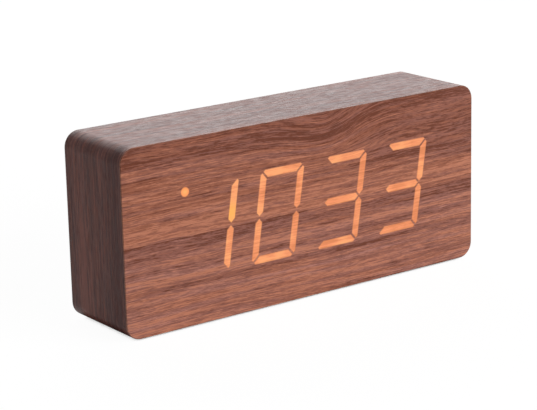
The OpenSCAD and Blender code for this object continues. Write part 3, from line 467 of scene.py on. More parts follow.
# The edges are lightened here: partly wear, partly a painted highlight where a rounded edge would catch the
# light.
def wear_and_highlight_edges(tree, tint, worn_and_lit_tint, radius, share):
    mask = use(tree, edge_wear_and_highlight, radius=radius)["Mask"]
    return blend(tree, maths(tree, "MULTIPLY", mask, share), tint, worn_and_lit_tint)


print("node group:", edge_wear_and_highlight.name)

# %% [markdown]
# Grain around the case.
# The wrapped sheet is one strip bent round the top, the sides and the bottom, and its grain runs along
# the strip. So its grain follows the outline: level on the top, upright on the sides, and round the bend
# in the corners. The distance along that outline is worked out from the place on the case, in a group of
# its own.

# %% Node group: grain around the case
CORNER_RADIUS = 7.5 * MM
# The strip was cut this far from the strong ring, so the ring doesn't show on it
STRIP_SHIFT = 60 * MM
# Under 1, the streaks of the strip are longer and broader than those of the front
STRIP_SPREAD = 0.45
# Each sheet lies at another depth of the noise, so no two look alike
FRONT_SHEET = 0.3
STRIP_SHEET = 3.7
REAR_SHEET = 8.1
wrap_low, wrap_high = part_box("wrap_veneer")
case_middle_z = (wrap_low.z + wrap_high.z) / 2


def make_wrap_grain():
    group, given, made = start_group("grain_round_case", {"Place": "Vector"}, {"Grain": "Vector"})
    half_w = wrap_high.x - CORNER_RADIUS
    half_h = wrap_high.z - case_middle_z - CORNER_RADIUS
    x, y, z = axes_of(group, given["Place"])
    level = maths(group, "SUBTRACT", z, case_middle_z)
    flat_x = maths(group, "MINIMUM", maths(group, "MAXIMUM", x, -half_w), half_w)
    flat_z = maths(group, "MINIMUM", maths(group, "MAXIMUM", level, -half_h), half_h)
    out = maths(group, "ABSOLUTE", maths(group, "SUBTRACT", x, flat_x))
    angle = maths(group, "ARCTAN2", out, maths(group, "SUBTRACT", level, flat_z))
    turned = maths(group, "MULTIPLY_ADD", angle, CORNER_RADIUS, maths(group, "SUBTRACT", half_h, flat_z))
    along = maths(group, "MULTIPLY_ADD", turned, maths(group, "SIGN", x), flat_x)
    stretched = maths(group, "MULTIPLY", along, STRIP_SPREAD)
    shifted = maths(group, "MULTIPLY_ADD", y, STRIP_SPREAD, STRIP_SHIFT)
    group.links.new(point(group, stretched, shifted, STRIP_SHEET), made["Grain"])
    return group


wrap_grain = make_wrap_grain()


def strip_grain(tree):
    return use(tree, wrap_grain, place=object_place(tree))["Grain"]


def rear_grain(tree):
    x, y, z = axes_of(tree, object_place(tree))
    return point(tree, x, maths(tree, "ADD", z, STRIP_SHIFT), REAR_SHEET)


print("node group:", wrap_grain.name)

# %% [markdown]
# Figure of the front.
# The strong ring crosses the front at half height as one dark line. Near the top the rings dip where a
# branch grew beside the sheet, and climb to the right of it, and between them lie bands of lighter and
# darker wood. Such bands could be painted on, but worked out from the height above the strong ring they
# bend with the grain.

# %% Grain, slow changes and bands of the front
STRONG_RING_Z = 44.6 * MM
# Place and depth of the dip, and the heights between which it grows
DIP_X = 8 * MM
DIP_WIDTH = 20 * MM
DIP_DEPTH = 5 * MM
DIP_HEIGHTS = (62 * MM, 88 * MM)
# To the right of the dip the rings climb by this much, up to a second place
CLIMB = 7 * MM
CLIMB_END_X = 55 * MM
CLIMB_HEIGHTS = (60 * MM, 80 * MM)
# Slow changes, darker towards the top and lighter towards the foot and the left: where each starts and ends,
# and how much lighter the colour is at either end
DARK_TOP = (58 * MM, 84 * MM, 0.0, -0.27)
LIGHT_FOOT = (10 * MM, 45 * MM, 0.14, 0.02)
LIGHT_LEFT = (-100 * MM, 100 * MM, 0.05, -0.03)
# The dark top reaches lower towards the right, by this share of the way
TOP_SLANT = 0.1
# Bands: height above the strong ring, reach up and down, and how much lighter the wood is
FRONT_BANDS = (
    (39 * MM, 3 * MM, -0.2),
    (33 * MM, 2.5 * MM, 0.15),
    (18 * MM, 2.5 * MM, -0.12),
    (8 * MM, 4 * MM, 0.12),
    (-6 * MM, 2.5 * MM, -0.12),
    (-11 * MM, 2 * MM, 0.2),
    (-14.5 * MM, 1.2 * MM, -0.25),
    (-18 * MM, 1.6 * MM, 0.18),
    (-23 * MM, 2 * MM, -0.16),
)
BAND_SWING = (120 * MM, 30 * MM)
BAND_WANDER = 5 * MM


def bell(tree, value, middle, reach):
    aside = maths(tree, "DIVIDE", maths(tree, "SUBTRACT", value, middle), reach)
    return maths(tree, "EXPONENT", maths(tree, "MULTIPLY", maths(tree, "MULTIPLY", aside, aside), -1.0))


def front_grain(tree):
    x, y, z = axes_of(tree, object_place(tree))
    right = ramp(tree, x, DIP_X, CLIMB_END_X, 0.0, CLIMB)
    climb = maths(tree, "MULTIPLY", right, ramp(tree, z, *CLIMB_HEIGHTS))
    height = maths(tree, "SUBTRACT", maths(tree, "SUBTRACT", z, STRONG_RING_Z), climb)
    depth = ramp(tree, z, *DIP_HEIGHTS, 0.0, DIP_DEPTH)
    across = maths(tree, "MULTIPLY_ADD", bell(tree, x, DIP_X, DIP_WIDTH), depth, height)
    return point(tree, x, across, FRONT_SHEET)


def front_lift(tree):
    x, y, z = axes_of(tree, object_place(tree))
    slanted = maths(tree, "MULTIPLY_ADD", x, TOP_SLANT, z)
    lift = maths(tree, "ADD", ramp(tree, z, *LIGHT_FOOT), ramp(tree, x, *LIGHT_LEFT))
    lift = maths(tree, "ADD", lift, ramp(tree, slanted, *DARK_TOP))
    grain = front_grain(tree)
    above_ring = axes_of(tree, grain)[1]
    wandering = maths(tree, "MULTIPLY_ADD", sway(tree, grain, *BAND_SWING), BAND_WANDER, above_ring)
    for middle, reach, lighter in FRONT_BANDS:
        lift = maths(tree, "MULTIPLY_ADD", bell(tree, wandering, middle, reach), lighter, lift)
    return lift


print("strong ring at", STRONG_RING_Z / MM, "mm, bands on the front:", len(FRONT_BANDS))

# %% [markdown]
# Three veneers.
# Front, strip and back edge are three sheets. Along its front edge the strip is lighter, and on the top
# and along the back edge it is darker; broad bands run along the strip, fainter on the top. One function
# makes all three finishes, because they differ only in their values.

# %% Finish of the strip and of the three sheets
# Width of the front edge and of the back edge, and how much lighter the colour is there and on the top
FRONT_STRIP = 2.2 * MM
FRONT_LIFT = 0.12
BACK_STRIP = 6 * MM
BACK_LIFT = -0.25
TOP_LIFT = -0.08
# Length, width and detail of the bands of the strip, and how strongly they show
STRIP_BANDS = (80 * MM, 7 * MM, 0.0)
STRIP_BAND_DEPTH = 1.7
# The share of the bands that is left on the top
CALM_TOP = 0.35
# Edges, lighter partly from wear and partly as a painted highlight: colour, radius and share
WORN_AND_LIT_WOOD = colour(0.55, 0.27, 0.18)
VENEER_EDGE = 0.5 * MM
VENEER_WEAR_AND_HIGHLIGHT = 0.4


def strip_lift(tree):
    x, y, z = axes_of(tree, object_place(tree))
    top = ramp(tree, z, wrap_high.z - CORNER_RADIUS, wrap_high.z)
    lift = ramp(tree, y, wrap_low.y, wrap_low.y + FRONT_STRIP, FRONT_LIFT, 0.0)
    lift = maths(tree, "ADD", lift, ramp(tree, y, wrap_high.y - BACK_STRIP, wrap_high.y, 0.0, BACK_LIFT))
    lift = maths(tree, "MULTIPLY_ADD", top, TOP_LIFT, lift)
    calm = STRIP_BAND_DEPTH * (CALM_TOP - 1)
    depth = maths(tree, "MULTIPLY_ADD", top, calm, STRIP_BAND_DEPTH)
    return maths(tree, "MULTIPLY_ADD", sway(tree, strip_grain(tree), *STRIP_BANDS), depth, lift)


def no_lift(tree):
    return 0.0


def veneer_finish(name, make_grain, make_lift, tints, cut, gloss, depth):
    finish, tree, shader = new_finish(name)
    wood = use(tree, walnut, grain=make_grain(tree), lift=make_lift(tree), **tints, **cut)
    # Lighter edges, partly wear and partly a painted highlight
    worn_and_lit = wear_and_highlight_edges(tree, wood["Color"], WORN_AND_LIT_WOOD, VENEER_EDGE, VENEER_WEAR_AND_HIGHLIGHT)
    fill(tree, shader, {"Base Color": worn_and_lit, "Roughness": wood["Roughness"], "Specular IOR Level": gloss})
    join_bump(tree, shader, wood["Height"], depth)
    return finish


# Dark, middle and light wood, and the tints of its cool and its warm streaks
FRONT_TINTS = {"dark": colour(0.155, 0.04, 0.018), "middle": colour(0.3, 0.112, 0.075),
               "light": colour(0.495, 0.21, 0.15), "cool": colour(0.97, 1.04, 1.18),
               "warm": colour(1.04, 0.95, 0.8)}
WRAP_TINTS = {"dark": colour(0.165, 0.047, 0.036), "middle": colour(0.305, 0.112, 0.09),
              "light": colour(0.48, 0.187, 0.154), "cool": colour(0.97, 1.03, 1.1),
              "warm": colour(1.04, 0.96, 0.9)}
# How strongly the rings, the bend of the grain, the fibres and the bands show
FRONT_CUT = dict(ring_depth=0.32, wave=1.0, long_fibres=1.0, short_fibres=1.2, bands=0.35)
STRIP_CUT = dict(ring_depth=0.15, wave=0.35, long_fibres=1.15, short_fibres=1.3, bands=0.7)
REAR_CUT = dict(ring_depth=0.15, wave=0.35, long_fibres=0.95, short_fibres=1.1, bands=0.9)
# Gloss, and depth of the pores
FRONT_VARNISH = (0.18, 0.03 * MM)
WRAP_VARNISH = (0.115, 0.012 * MM)
front = veneer_finish("walnut_front", front_grain, front_lift, FRONT_TINTS, FRONT_CUT, *FRONT_VARNISH)
strip = veneer_finish("walnut_wrap", strip_grain, strip_lift, WRAP_TINTS, STRIP_CUT, *WRAP_VARNISH)
rear = veneer_finish("walnut_rear", rear_grain, no_lift, WRAP_TINTS, REAR_CUT, *WRAP_VARNISH)
dress(front, "front_veneer")
dress(strip, "wrap_veneer")
dress(rear, "rear_veneer")
print("veneers dressed:", front.name, strip.name, rear.name)

# %% [markdown]
# Lit strokes.
# Each stroke is a window of thin veneer with light behind it. It glows most in its middle and falls off
# at the rim, where the wall of the slot shades it, and the fibres of the wood show as fine lines. The
# flat solid has no points inside its outline to carry that fall-off, so each stroke is built again with a
# second outline a little way in. A number stored on the points, 0 at the rim and 1 inside, then fades the
# glow.

# %% Find the separate solids of a node and their outlines
TOUCH = 0.001 * MM


def separate_solids(node):
    shape = bmesh.new()
    shape.from_mesh(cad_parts[node].data)
    bmesh.ops.remove_doubles(shape, verts=shape.verts, dist=TOUCH)
    shape.verts.ensure_lookup_table()
    seen = set()
    solids = []
    for start in shape.verts:
        if start.index in seen:
            continue
        seen.add(start.index)
        waiting = [start]
        points = []
        while waiting:
            corner = waiting.pop()
            points.append(corner.co.copy())
            for edge in corner.link_edges:
                other = edge.other_vert(corner)
                if other.index not in seen:
                    seen.add(other.index)
                    waiting.append(other)
        solids.append(points)
    shape.free()
    return solids


def front_outline(points):
    front = min(p.y for p in points)
    ring = [p for p in points if p.y < front + TOUCH]
    middle = sum(ring, Vector()) / len(ring)
    return sorted(ring, key=lambda p: math.atan2(p.z - middle.z, p.x - middle.x))


def inset(ring, step):
    moved = []
    for k, here in enumerate(ring):
        before = (here - ring[k - 1]).normalized()
        after = (ring[(k + 1) % len(ring)] - here).normalized()
        inward = Vector((-before.z - after.z, 0, before.x + after.x)).normalized()
        reach = step / inward.dot(Vector((-after.z, 0, after.x)))
        moved.append(here + inward * reach)
    return moved


print("strokes in the second digit:", len(separate_solids("hour_units_segments")))

# %% Build the strokes with a soft rim
RIM = 0.5 * MM


def add_object(name, shape):
    bmesh.ops.recalc_face_normals(shape, faces=shape.faces)
    mesh = bpy.data.meshes.new(name)
    shape.to_mesh(mesh)
    shape.free()
    piece = bpy.data.objects.new(name, mesh)
    scene.collection.objects.link(piece)
    return piece


def light_windows(name, node):
    shape = bmesh.new()
    glow = shape.verts.layers.float.new("glow")
    for points in separate_solids(node):
        back = max(p.y for p in points)
        outline = front_outline(points)
        rim = [shape.verts.new(p) for p in outline]
        inner = [shape.verts.new(p) for p in inset(outline, RIM)]
        rear = [shape.verts.new((p.x, back, p.z)) for p in outline]
        for k in range(len(rim)):
            n = (k + 1) % len(rim)
            shape.faces.new((rim[k], rim[n], inner[n], inner[k]))
            shape.faces.new((rim[k], rim[n], rear[n], rear[k]))
        shape.faces.new(inner)
        shape.faces.new(rear)
        for corner in inner:
            corner[glow] = 1.0
    piece = add_object(name, shape)
    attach(piece, "case")
    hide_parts(node)
    return piece


DIGITS = ("hour_tens", "hour_units", "minute_tens", "minute_units")
digit_lights = [light_windows(digit + "_light", digit + "_segments") for digit in DIGITS]
dot_light = light_windows("dot_light", "indicator_dot")
print("windows built:", [piece.name for piece in digit_lights + [dot_light]])

# %% Glow of the strokes
LIT_CUT = dict(ring_depth=0.45, wave=1.0, long_fibres=1.0, short_fibres=1.0, bands=1.0, lift=0.0)
# Glow without patches, size and share of brighter patches, and share of the wood's tone
LOW_GLOW = -0.4
PATCH_SIZE = 13 * MM
PATCH_SHARE = 1.3
WOOD_SHARE = 0.45
RIM_GLOW = 0.7
# The strokes around the hottest one are brighter, and the last digit is dimmer towards its foot
WARM_SHARE = 0.4
WARM_REACH = 45 * MM
DIM_SHARE = 0.2
DIM_FROM_X = (30 * MM, 75 * MM)
DIM_BELOW_Z = (45 * MM, 25 * MM)
DARK_UNLIT = colour(0.02, 0.008, 0.004)
LIGHT_UNLIT = colour(0.1, 0.04, 0.022)


def glow_level(tree, place, tone, away):
    patches = speckle(tree, place, PATCH_SIZE, 1.0)
    level = maths(tree, "MULTIPLY_ADD", patches, PATCH_SHARE, LOW_GLOW)
    level = maths(tree, "MULTIPLY_ADD", tone, WOOD_SHARE, level)
    level = maths(tree, "ADD", level, ramp(tree, away, WARM_REACH, 0.0, 0.0, WARM_SHARE))
    x, y, z = axes_of(tree, place)
    right = ramp(tree, x, *DIM_FROM_X, 0.0, DIM_SHARE)
    return maths(tree, "SUBTRACT", level, maths(tree, "MULTIPLY", right, ramp(tree, z, *DIM_BELOW_Z)))


def lit_finish(name, tints, hot_spot, hot_reach):
    ember, amber, bright, yellow = tints
    finish, tree, shader = new_finish(name)
    place = object_place(tree)
    wood = use(tree, walnut, grain=front_grain(tree), **LIT_CUT)
    away = put(tree, "ShaderNodeVectorMath", {0: place, 1: hot_spot}, operation="DISTANCE").outputs["Value"]
    level = glow_level(tree, place, wood["Tone"], away)
    cool = blend(tree, ramp(tree, level, 0.3, 0.5), ember, amber)
    warm = blend(tree, ramp(tree, level, 0.52, 0.8), cool, bright)
    hottest = blend(tree, ramp(tree, away, hot_reach, 0.0), warm, yellow)
    rim = put(tree, "ShaderNodeAttribute", attribute_name="glow").outputs["Fac"]
    faded = shade(tree, hottest, ramp(tree, rim, 0.0, 1.0, RIM_GLOW, 1.0))
    unlit = blend(tree, ramp(tree, wood["Tone"], 0.0, 1.0), DARK_UNLIT, LIGHT_UNLIT)
    fill(tree, shader, {"Base Color": unlit, "Roughness": wood["Roughness"], "Specular IOR Level": 0.15,
                        "Emission Color": faded, "Emission Strength": 1.0})
    return finish


# From the dimmest to the hottest glow
STROKE_TINTS = (colour(0.73, 0.235, 0.095), colour(0.83, 0.28, 0.12), colour(0.94, 0.37, 0.15),
                colour(1.0, 0.435, 0.095))
DOT_TINTS = (colour(0.88, 0.25, 0.09), colour(0.9, 0.275, 0.095), colour(0.93, 0.31, 0.105),
             colour(0.96, 0.43, 0.13))
HOT_STROKE = Vector((-46.0, -24.0, 51.5)) * MM
HOT_REACH = 8 * MM
HOT_DOT_REACH = 2.2 * MM
dot_low, dot_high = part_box("indicator_dot")
dot_front = (dot_low + dot_high) / 2
dot_front.y = dot_low.y
stroke_glow = lit_finish("lit_strokes", STROKE_TINTS, HOT_STROKE, HOT_REACH)
dot_glow = lit_finish("lit_dot", DOT_TINTS, dot_front, HOT_DOT_REACH)
for piece in digit_lights:
    piece.data.materials.append(stroke_glow)
dot_light.data.materials.append(dot_glow)
print("glow materials:", stroke_glow.name, dot_glow.name)

# %% [markdown]
# Moulded plastic and rubber.
# The mould for a back cover is etched, which leaves a fine grain that hides scratches. Seen close up it
# is a field of tiny bumps, and from a step away it is an even satin. One group gives the grain, a faint
# cloudiness and the roughness that goes with them, and every plastic, rubber, fibreboard and film takes
# it with its own size of grain.

# %% Node group: moulded surface
CLOUD_SIZE = 17 * MM
# Where the mix of bumps and clouds is darkest and lightest, and how dark and light that is
MOULDED_MIX = (0.3, 0.7)
MOULDED_LIGHT = (0.72, 1.28)
# Edges, lighter partly from wear and partly as a painted highlight: radius and share
MOULDED_EDGE = 0.35 * MM
MOULDED_WEAR_AND_HIGHLIGHT = 0.45


def make_moulded():
    sockets = {"Color": "Color", "Grain": "Float", "Smoothest": "Float", "Roughest": "Float"}
    made_sockets = {"Color": "Color", "Roughness": "Float", "Height": "Float"}
    group, given, made = start_group("moulded_surface", sockets, made_sockets)
    place = object_place(group)
    bumps = noise(group, place, maths(group, "DIVIDE", 1.0, given["Grain"]), 1.5)
    clouds = speckle(group, place, CLOUD_SIZE, 3.0)
    mixed = maths(group, "MULTIPLY_ADD", bumps, 0.5, maths(group, "MULTIPLY", clouds, 0.5))
    light = ramp(group, mixed, *MOULDED_MIX, *MOULDED_LIGHT)
    tint = shade(group, given["Color"], light)
    spread = ramp(group, mixed, *MOULDED_MIX)
    gap = maths(group, "SUBTRACT", given["Roughest"], given["Smoothest"])
    roughness = maths(group, "MULTIPLY_ADD", spread, gap, given["Smoothest"])
    fill(group, made, {"Color": tint, "Roughness": roughness, "Height": bumps})
    return group


moulded = make_moulded()


def moulded_finish(name, tint, grain, smoothest, roughest, depth, worn_and_lit_tint=None):
    finish, tree, shader = new_finish(name)
    skin = use(tree, moulded, color=tint, grain=grain, smoothest=smoothest, roughest=roughest)
    base = skin["Color"]
    # Lighter edges, partly wear and partly a painted highlight
    if worn_and_lit_tint:
        base = wear_and_highlight_edges(tree, base, worn_and_lit_tint, MOULDED_EDGE, MOULDED_WEAR_AND_HIGHLIGHT)
    fill(tree, shader, {"Base Color": base, "Roughness": skin["Roughness"]})
    join_bump(tree, shader, skin["Height"], depth)
    return finish


def dress_moulded(skins):
    finishes = {}
    for name, (nodes, *values) in skins.items():
        finishes[name] = moulded_finish(name, *values)
        dress(finishes[name], *nodes)
    return finishes


print("node group:", moulded.name)

# %% Black plastics and rubber
# Nodes, colour, size of grain, smoothest and roughest, depth of grain, and colour of the edges, lighter
# partly from wear and partly as a painted highlight
BLACK_SKINS = {
    "cover_black": (("rear_cover", "battery_tray", "battery_door"),
                    colour(0.02, 0.02, 0.022), 0.35 * MM, 0.42, 0.6, 0.05 * MM, colour(0.07, 0.07, 0.072)),
    "button_black": (("set_button", "up_button", "down_button", "slide_switch_knob"),
                     colour(0.026, 0.026, 0.027), 0.2 * MM, 0.28, 0.42, 0.01 * MM, colour(0.09, 0.09, 0.09)),
    "part_black": (("buzzer", "dc_jack", "switch_bases", "set_plunger", "up_plunger", "down_plunger"),
                   colour(0.018, 0.018, 0.018), 0.3 * MM, 0.35, 0.5, 0.02 * MM, colour(0.06, 0.06, 0.06)),
    "chip_black": (("led_drivers", "microcontroller", "voltage_regulator"),
                   colour(0.02, 0.02, 0.022), 0.15 * MM, 0.5, 0.7, 0.01 * MM),
    "foot_rubber": (("rubber_feet",),
                    colour(0.022, 0.022, 0.022), 0.5 * MM, 0.75, 0.95, 0.04 * MM, colour(0.06, 0.06, 0.058)),
}
blacks = dress_moulded(BLACK_SKINS)
print("black plastics and rubber dressed:", list(blacks))

# %% Pale plastics, films, wires and fibreboard
# The ink has no node of its own: the printed signs take it later
PALE_SKINS = {
    "fibreboard": (("case_frame", "front_board"),
                   colour(0.42, 0.28, 0.16), 0.8 * MM, 0.8, 0.95, 0.06 * MM, colour(0.5, 0.36, 0.22)),
    "diffuser_film": (("diffuser_sheet",), colour(0.8, 0.78, 0.7), 1.5 * MM, 0.4, 0.6, 0.005 * MM),
    "light_box_white": (("light_box",), colour(0.8, 0.8, 0.77), 0.6 * MM, 0.5, 0.7, 0.02 * MM),
    "ink_white": ((), colour(0.55, 0.55, 0.54), 0.25 * MM, 0.45, 0.65, 0.005 * MM),
    "socket_nylon": (("ribbon_sockets",), colour(0.72, 0.68, 0.56), 0.5 * MM, 0.4, 0.6, 0.01 * MM),
    "ribbon_grey": (("ribbon_cable",), colour(0.42, 0.42, 0.44), 1.2 * MM, 0.4, 0.55, 0.02 * MM),
    "wire_red": (("battery_lead_red",), colour(0.45, 0.02, 0.014), 0.8 * MM, 0.35, 0.5, 0.01 * MM),
    "wire_black": (("battery_lead_black",), colour(0.02, 0.02, 0.02), 0.8 * MM, 0.35, 0.5, 0.01 * MM),
    "capacitor_blue": (("capacitors",), colour(0.03, 0.045, 0.14), 0.7 * MM, 0.2, 0.35, 0.01 * MM),
}
pales = dress_moulded(PALE_SKINS)
print("pale plastics, wires and boards dressed:", list(pales))

# %% [markdown]
# Plated metal.
# Screws, contacts and cans are plated steel. Plating is bright but never a perfect mirror: rolling and
# handling leave fine lines that blur reflections more in some places than in others. The group gives
# those lines as a roughness and a faint change of colour, and the material itself is set to full metal.

# %% Node group: plated metal
# Size of the lines upwards and front to back, and of the stains between them
LINE_HEIGHT = 0.12 * MM
LINE_DEPTH = 0.5 * MM
STAIN_SIZE = 3 * MM


def make_plated():
    sockets = {"Color": "Color", "Line length": "Float"}
    group, given, made = start_group("plated_metal", sockets, {"Color": "Color", "Roughness": "Float"})
    place = object_place(group)
    x, y, z = axes_of(group, place)
    along = maths(group, "DIVIDE", x, given["Line length"])
    up = maths(group, "DIVIDE", z, LINE_HEIGHT)
    deep = maths(group, "DIVIDE", y, LINE_DEPTH)
    lines = noise(group, point(group, along, up, deep), 1.0, 2.0)
    stains = speckle(group, place, STAIN_SIZE, 3.0)
    light = ramp(group, maths(group, "ADD", lines, stains), 0.7, 1.3, 0.75, 1.1)
    tint = shade(group, given["Color"], light)
    fill(group, made, {"Color": tint, "Roughness": ramp(group, lines, 0.3, 0.7, 0.2, 0.42)})
    return group


plated = make_plated()


def plated_finish(name, tint, line_length):
    finish, tree, shader = new_finish(name)
    skin = use(tree, plated, color=tint, line_length=line_length)
    fill(tree, shader, {"Base Color": skin["Color"], "Roughness": skin["Roughness"], "Metallic": 1.0})
    return finish


screw_steel = plated_finish("screw_steel", colour(0.62, 0.62, 0.64), 2 * MM)
dress(screw_steel, "display_screws", "main_pcb_screws", "cover_screws")
can_steel = plated_finish("can_steel", colour(0.66, 0.67, 0.69), 6 * MM)
dress(can_steel, "crystal", "microphone", "switch_frames", "slide_switch_body")
contact_nickel = plated_finish("contact_nickel", colour(0.7, 0.68, 0.61), 4 * MM)
dress(contact_nickel, "dc_jack_pin", "battery_contacts")
print("metals dressed:", screw_steel.name, can_steel.name, contact_nickel.name)

# %% [markdown]
# Circuit boards and diodes.
# A circuit board is green lacquer over copper: where a track runs, the green is a little lighter and
# stands a hair proud. Rows of tracks are thin noise in two directions, cut off hard so that they have
# edges. The diodes glow amber, cloudy as resin is.

# %% Green lacquer over tracks, and amber diodes
# Length, width and detail of the tracks
TRACKS = (22 * MM, 1.1 * MM, 0.0)
TRACK_HEIGHT = 0.035 * MM
LACQUER = colour(0.012, 0.085, 0.035)
LACQUER_ON_TRACK = colour(0.03, 0.16, 0.06)
RESIN_TINTS = (colour(0.9, 0.42, 0.06), colour(1.0, 0.66, 0.2))
RESIN_GLOW = (colour(0.8, 0.28, 0.04), colour(1.0, 0.5, 0.12))
RESIN_CLOUD = 0.9 * MM


def board_finish():
    finish, tree, shader = new_finish("circuit_board")
    x, y, z = axes_of(tree, object_place(tree))
    rows = ramp(tree, streaks(tree, point(tree, x, z, 0.0), *TRACKS), 0.55, 0.58)
    columns = ramp(tree, streaks(tree, point(tree, z, x, 5.0), *TRACKS), 0.57, 0.6)
    tracks = maths(tree, "MAXIMUM", rows, columns)
    tint = blend(tree, tracks, LACQUER, LACQUER_ON_TRACK)
    fill(tree, shader, {"Base Color": tint, "Roughness": ramp(tree, tracks, 0.0, 1.0, 0.32, 0.24)})
    join_bump(tree, shader, tracks, TRACK_HEIGHT)
    return finish


def diode_finish():
    finish, tree, shader = new_finish("led_amber")
    cloud = speckle(tree, object_place(tree), RESIN_CLOUD)
    tint = blend(tree, cloud, *RESIN_TINTS)
    glow = blend(tree, cloud, *RESIN_GLOW)
    fill(tree, shader, {"Base Color": tint, "Roughness": 0.2})
    fill(tree, shader, {"Emission Color": glow, "Emission Strength": 0.8})
    return finish


dress(board_finish(), "display_pcb", "main_pcb")
dress(diode_finish(), "segment_leds")
print("boards and diodes dressed")

# %% [markdown]
# Battery cells.
# Behind the door lie four cells, each a steel can in a printed sleeve. The sleeve is shrunk on with heat,
# so it folds over both ends and leaves bare steel in the middle: flat at one end, a raised nub at the
# other. Sleeve and can are outlines turned round the axis of the cell, as the Spin tool would do by hand.
# How far along the cell a point lies is stored on it, so that the printed bands know which end they are
# at.


# %% Boxes of the cells and springs, and an outline turned round an axis
def solid_boxes(node):
    boxes = []
    for points in separate_solids(node):
        low = Vector([min(p[axis] for p in points) for axis in range(3)])
        high = Vector([max(p[axis] for p in points) for axis in range(3)])
        boxes.append((low, high))
    return sorted(boxes, key=lambda ends: ends[0].z)


CELL_SIDES = 40


def turn_outline(shape, start, way, outline, stored):
    rings = []
    for along, radius in outline:
        turns = [2 * math.pi * k / CELL_SIDES for k in range(CELL_SIDES if radius else 1)]
        offsets = [Vector((way * along, radius * math.cos(a), radius * math.sin(a))) for a in turns]
        rings.append([shape.verts.new(start + offset) for offset in offsets])
        for corner in rings[-1]:
            corner[stored] = along / MM
    closed = len(rings[0]) == len(rings[-1]) == CELL_SIDES
    for first, second in zip(rings, rings[1:] + (rings[:1] if closed else [])):
        for k in range(CELL_SIDES):
            places = ((first, k), (first, k + 1), (second, k + 1), (second, k))
            corners = [ring[at % len(ring)] for ring, at in places]
            shape.faces.new(dict.fromkeys(corners)).smooth = True


cell_boxes = solid_boxes("battery_cells")
spring_boxes = solid_boxes("battery_springs")
print("cells and springs:", len(cell_boxes), len(spring_boxes))

# %% Turn the sleeves and the cans
SLEEVE_T = 0.25 * MM
NUB_LENGTH = 0.8 * MM
NUB_RADIUS = 1.9 * MM
FOLD_RADIUS = 3.5 * MM
FOLD_ROUND = 0.5 * MM
FOLD_STEPS = 5
# How far the wall of the can lies under the face of the sleeve, and how its edges are eased
CAN_SINK = 1.4 * SLEEVE_T
CAN_EASE = 0.25 * MM
SHARP_ANGLE = math.radians(35)


def rounded_end(at, way, radius):
    steps = [math.pi / 2 * k / FOLD_STEPS for k in range(FOLD_STEPS + 1)]
    return [(at + way * FOLD_ROUND * (1 - math.sin(a)), radius - FOLD_ROUND * (1 - math.cos(a)))
            for a in reversed(steps)]


def sleeve_outline(length, radius):
    outer = rounded_end(0.0, 1, radius) + rounded_end(length, -1, radius)[::-1]
    inner = [(length - SLEEVE_T, FOLD_RADIUS), (length - SLEEVE_T, radius - SLEEVE_T),
             (SLEEVE_T, radius - SLEEVE_T), (SLEEVE_T, FOLD_RADIUS)]
    return [(0.0, FOLD_RADIUS)] + outer + [(length, FOLD_RADIUS)] + inner


def can_outline(length, radius):
    base = SLEEVE_T / 2
    top = length - base
    tip = length + NUB_LENGTH
    wall = radius - CAN_SINK
    bare = FOLD_RADIUS - 2 * CAN_EASE
    hidden = FOLD_RADIUS - CAN_EASE
    return [(base, 0.0), (base, bare), (CAN_SINK, hidden), (CAN_SINK, wall),
            (length - CAN_SINK, wall), (length - CAN_SINK, hidden), (top, bare),
            (top, NUB_RADIUS + CAN_EASE), (top + CAN_EASE / 2, NUB_RADIUS), (tip - CAN_EASE, NUB_RADIUS),
            (tip, NUB_RADIUS - CAN_EASE), (tip, 0.0)]


def turn_cells(name, make_outline, finish):
    shape = bmesh.new()
    along = shape.verts.layers.float.new("along")
    for (low, high), spring in zip(cell_boxes, spring_boxes):
        way = 1 if spring[0].x < low.x else -1
        middle = (low + high) / 2
        start = Vector((low.x if way > 0 else high.x, middle.y, middle.z))
        outline = make_outline(high.x - low.x - NUB_LENGTH, (high.z - low.z) / 2)
        turn_outline(shape, start, way, outline, along)
    piece = add_object(name, shape)
    piece.data.set_sharp_from_angle(angle=SHARP_ANGLE)
    piece.data.materials.append(finish)
    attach(piece, "case")
    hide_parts("battery_cells")
    return piece


print("steps in the fold of a sleeve:", FOLD_STEPS)

# %% Printed sleeve, and the cells themselves
SLEEVE_GOLD = colour(0.42, 0.24, 0.07)
SLEEVE_GRAIN = 0.5 * MM
SLEEVE_GRAIN_DEPTH = 0.01 * MM
PALE_INK = colour(0.62, 0.6, 0.55)
DARK_INK = colour(0.03, 0.028, 0.026)
# Start, end and ink of each printed band, in millimetres from the flat end of the cell
SLEEVE_BANDS = (
    (33.9, 34.5, DARK_INK),
    (34.5, 40.5, PALE_INK),
    (40.5, 41.1, DARK_INK),
)


def sleeve_finish():
    finish, tree, shader = new_finish("cell_sleeve")
    along = put(tree, "ShaderNodeAttribute", attribute_name="along").outputs["Fac"]
    skin = use(tree, moulded, color=SLEEVE_GOLD, grain=SLEEVE_GRAIN, smoothest=0.22, roughest=0.34)
    tint = skin["Color"]
    for start, end, ink in SLEEVE_BANDS:
        after = maths(tree, "GREATER_THAN", along, start)
        inside = maths(tree, "MULTIPLY", after, maths(tree, "LESS_THAN", along, end))
        tint = blend(tree, inside, tint, ink)
    fill(tree, shader, {"Base Color": tint, "Roughness": skin["Roughness"], "Coat Weight": 0.4})
    join_bump(tree, shader, skin["Height"], SLEEVE_GRAIN_DEPTH)
    return finish


sleeves = turn_cells("cell_sleeves", sleeve_outline, sleeve_finish())
cans = turn_cells("cell_cans", can_outline, can_steel)
print("cells turned, faces:", len(sleeves.data.polygons), len(cans.data.polygons))

# %% [markdown]
# Battery springs.
# Each cell is pressed against its contact by a conical spring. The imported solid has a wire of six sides,
# which shows as soon as the door opens. The same coil is wound again with a round wire: points along the
# coil, a ring of points around each, and a skin over the rings. Its ends run straight for one wire's
# width, into the plate and against the cell.

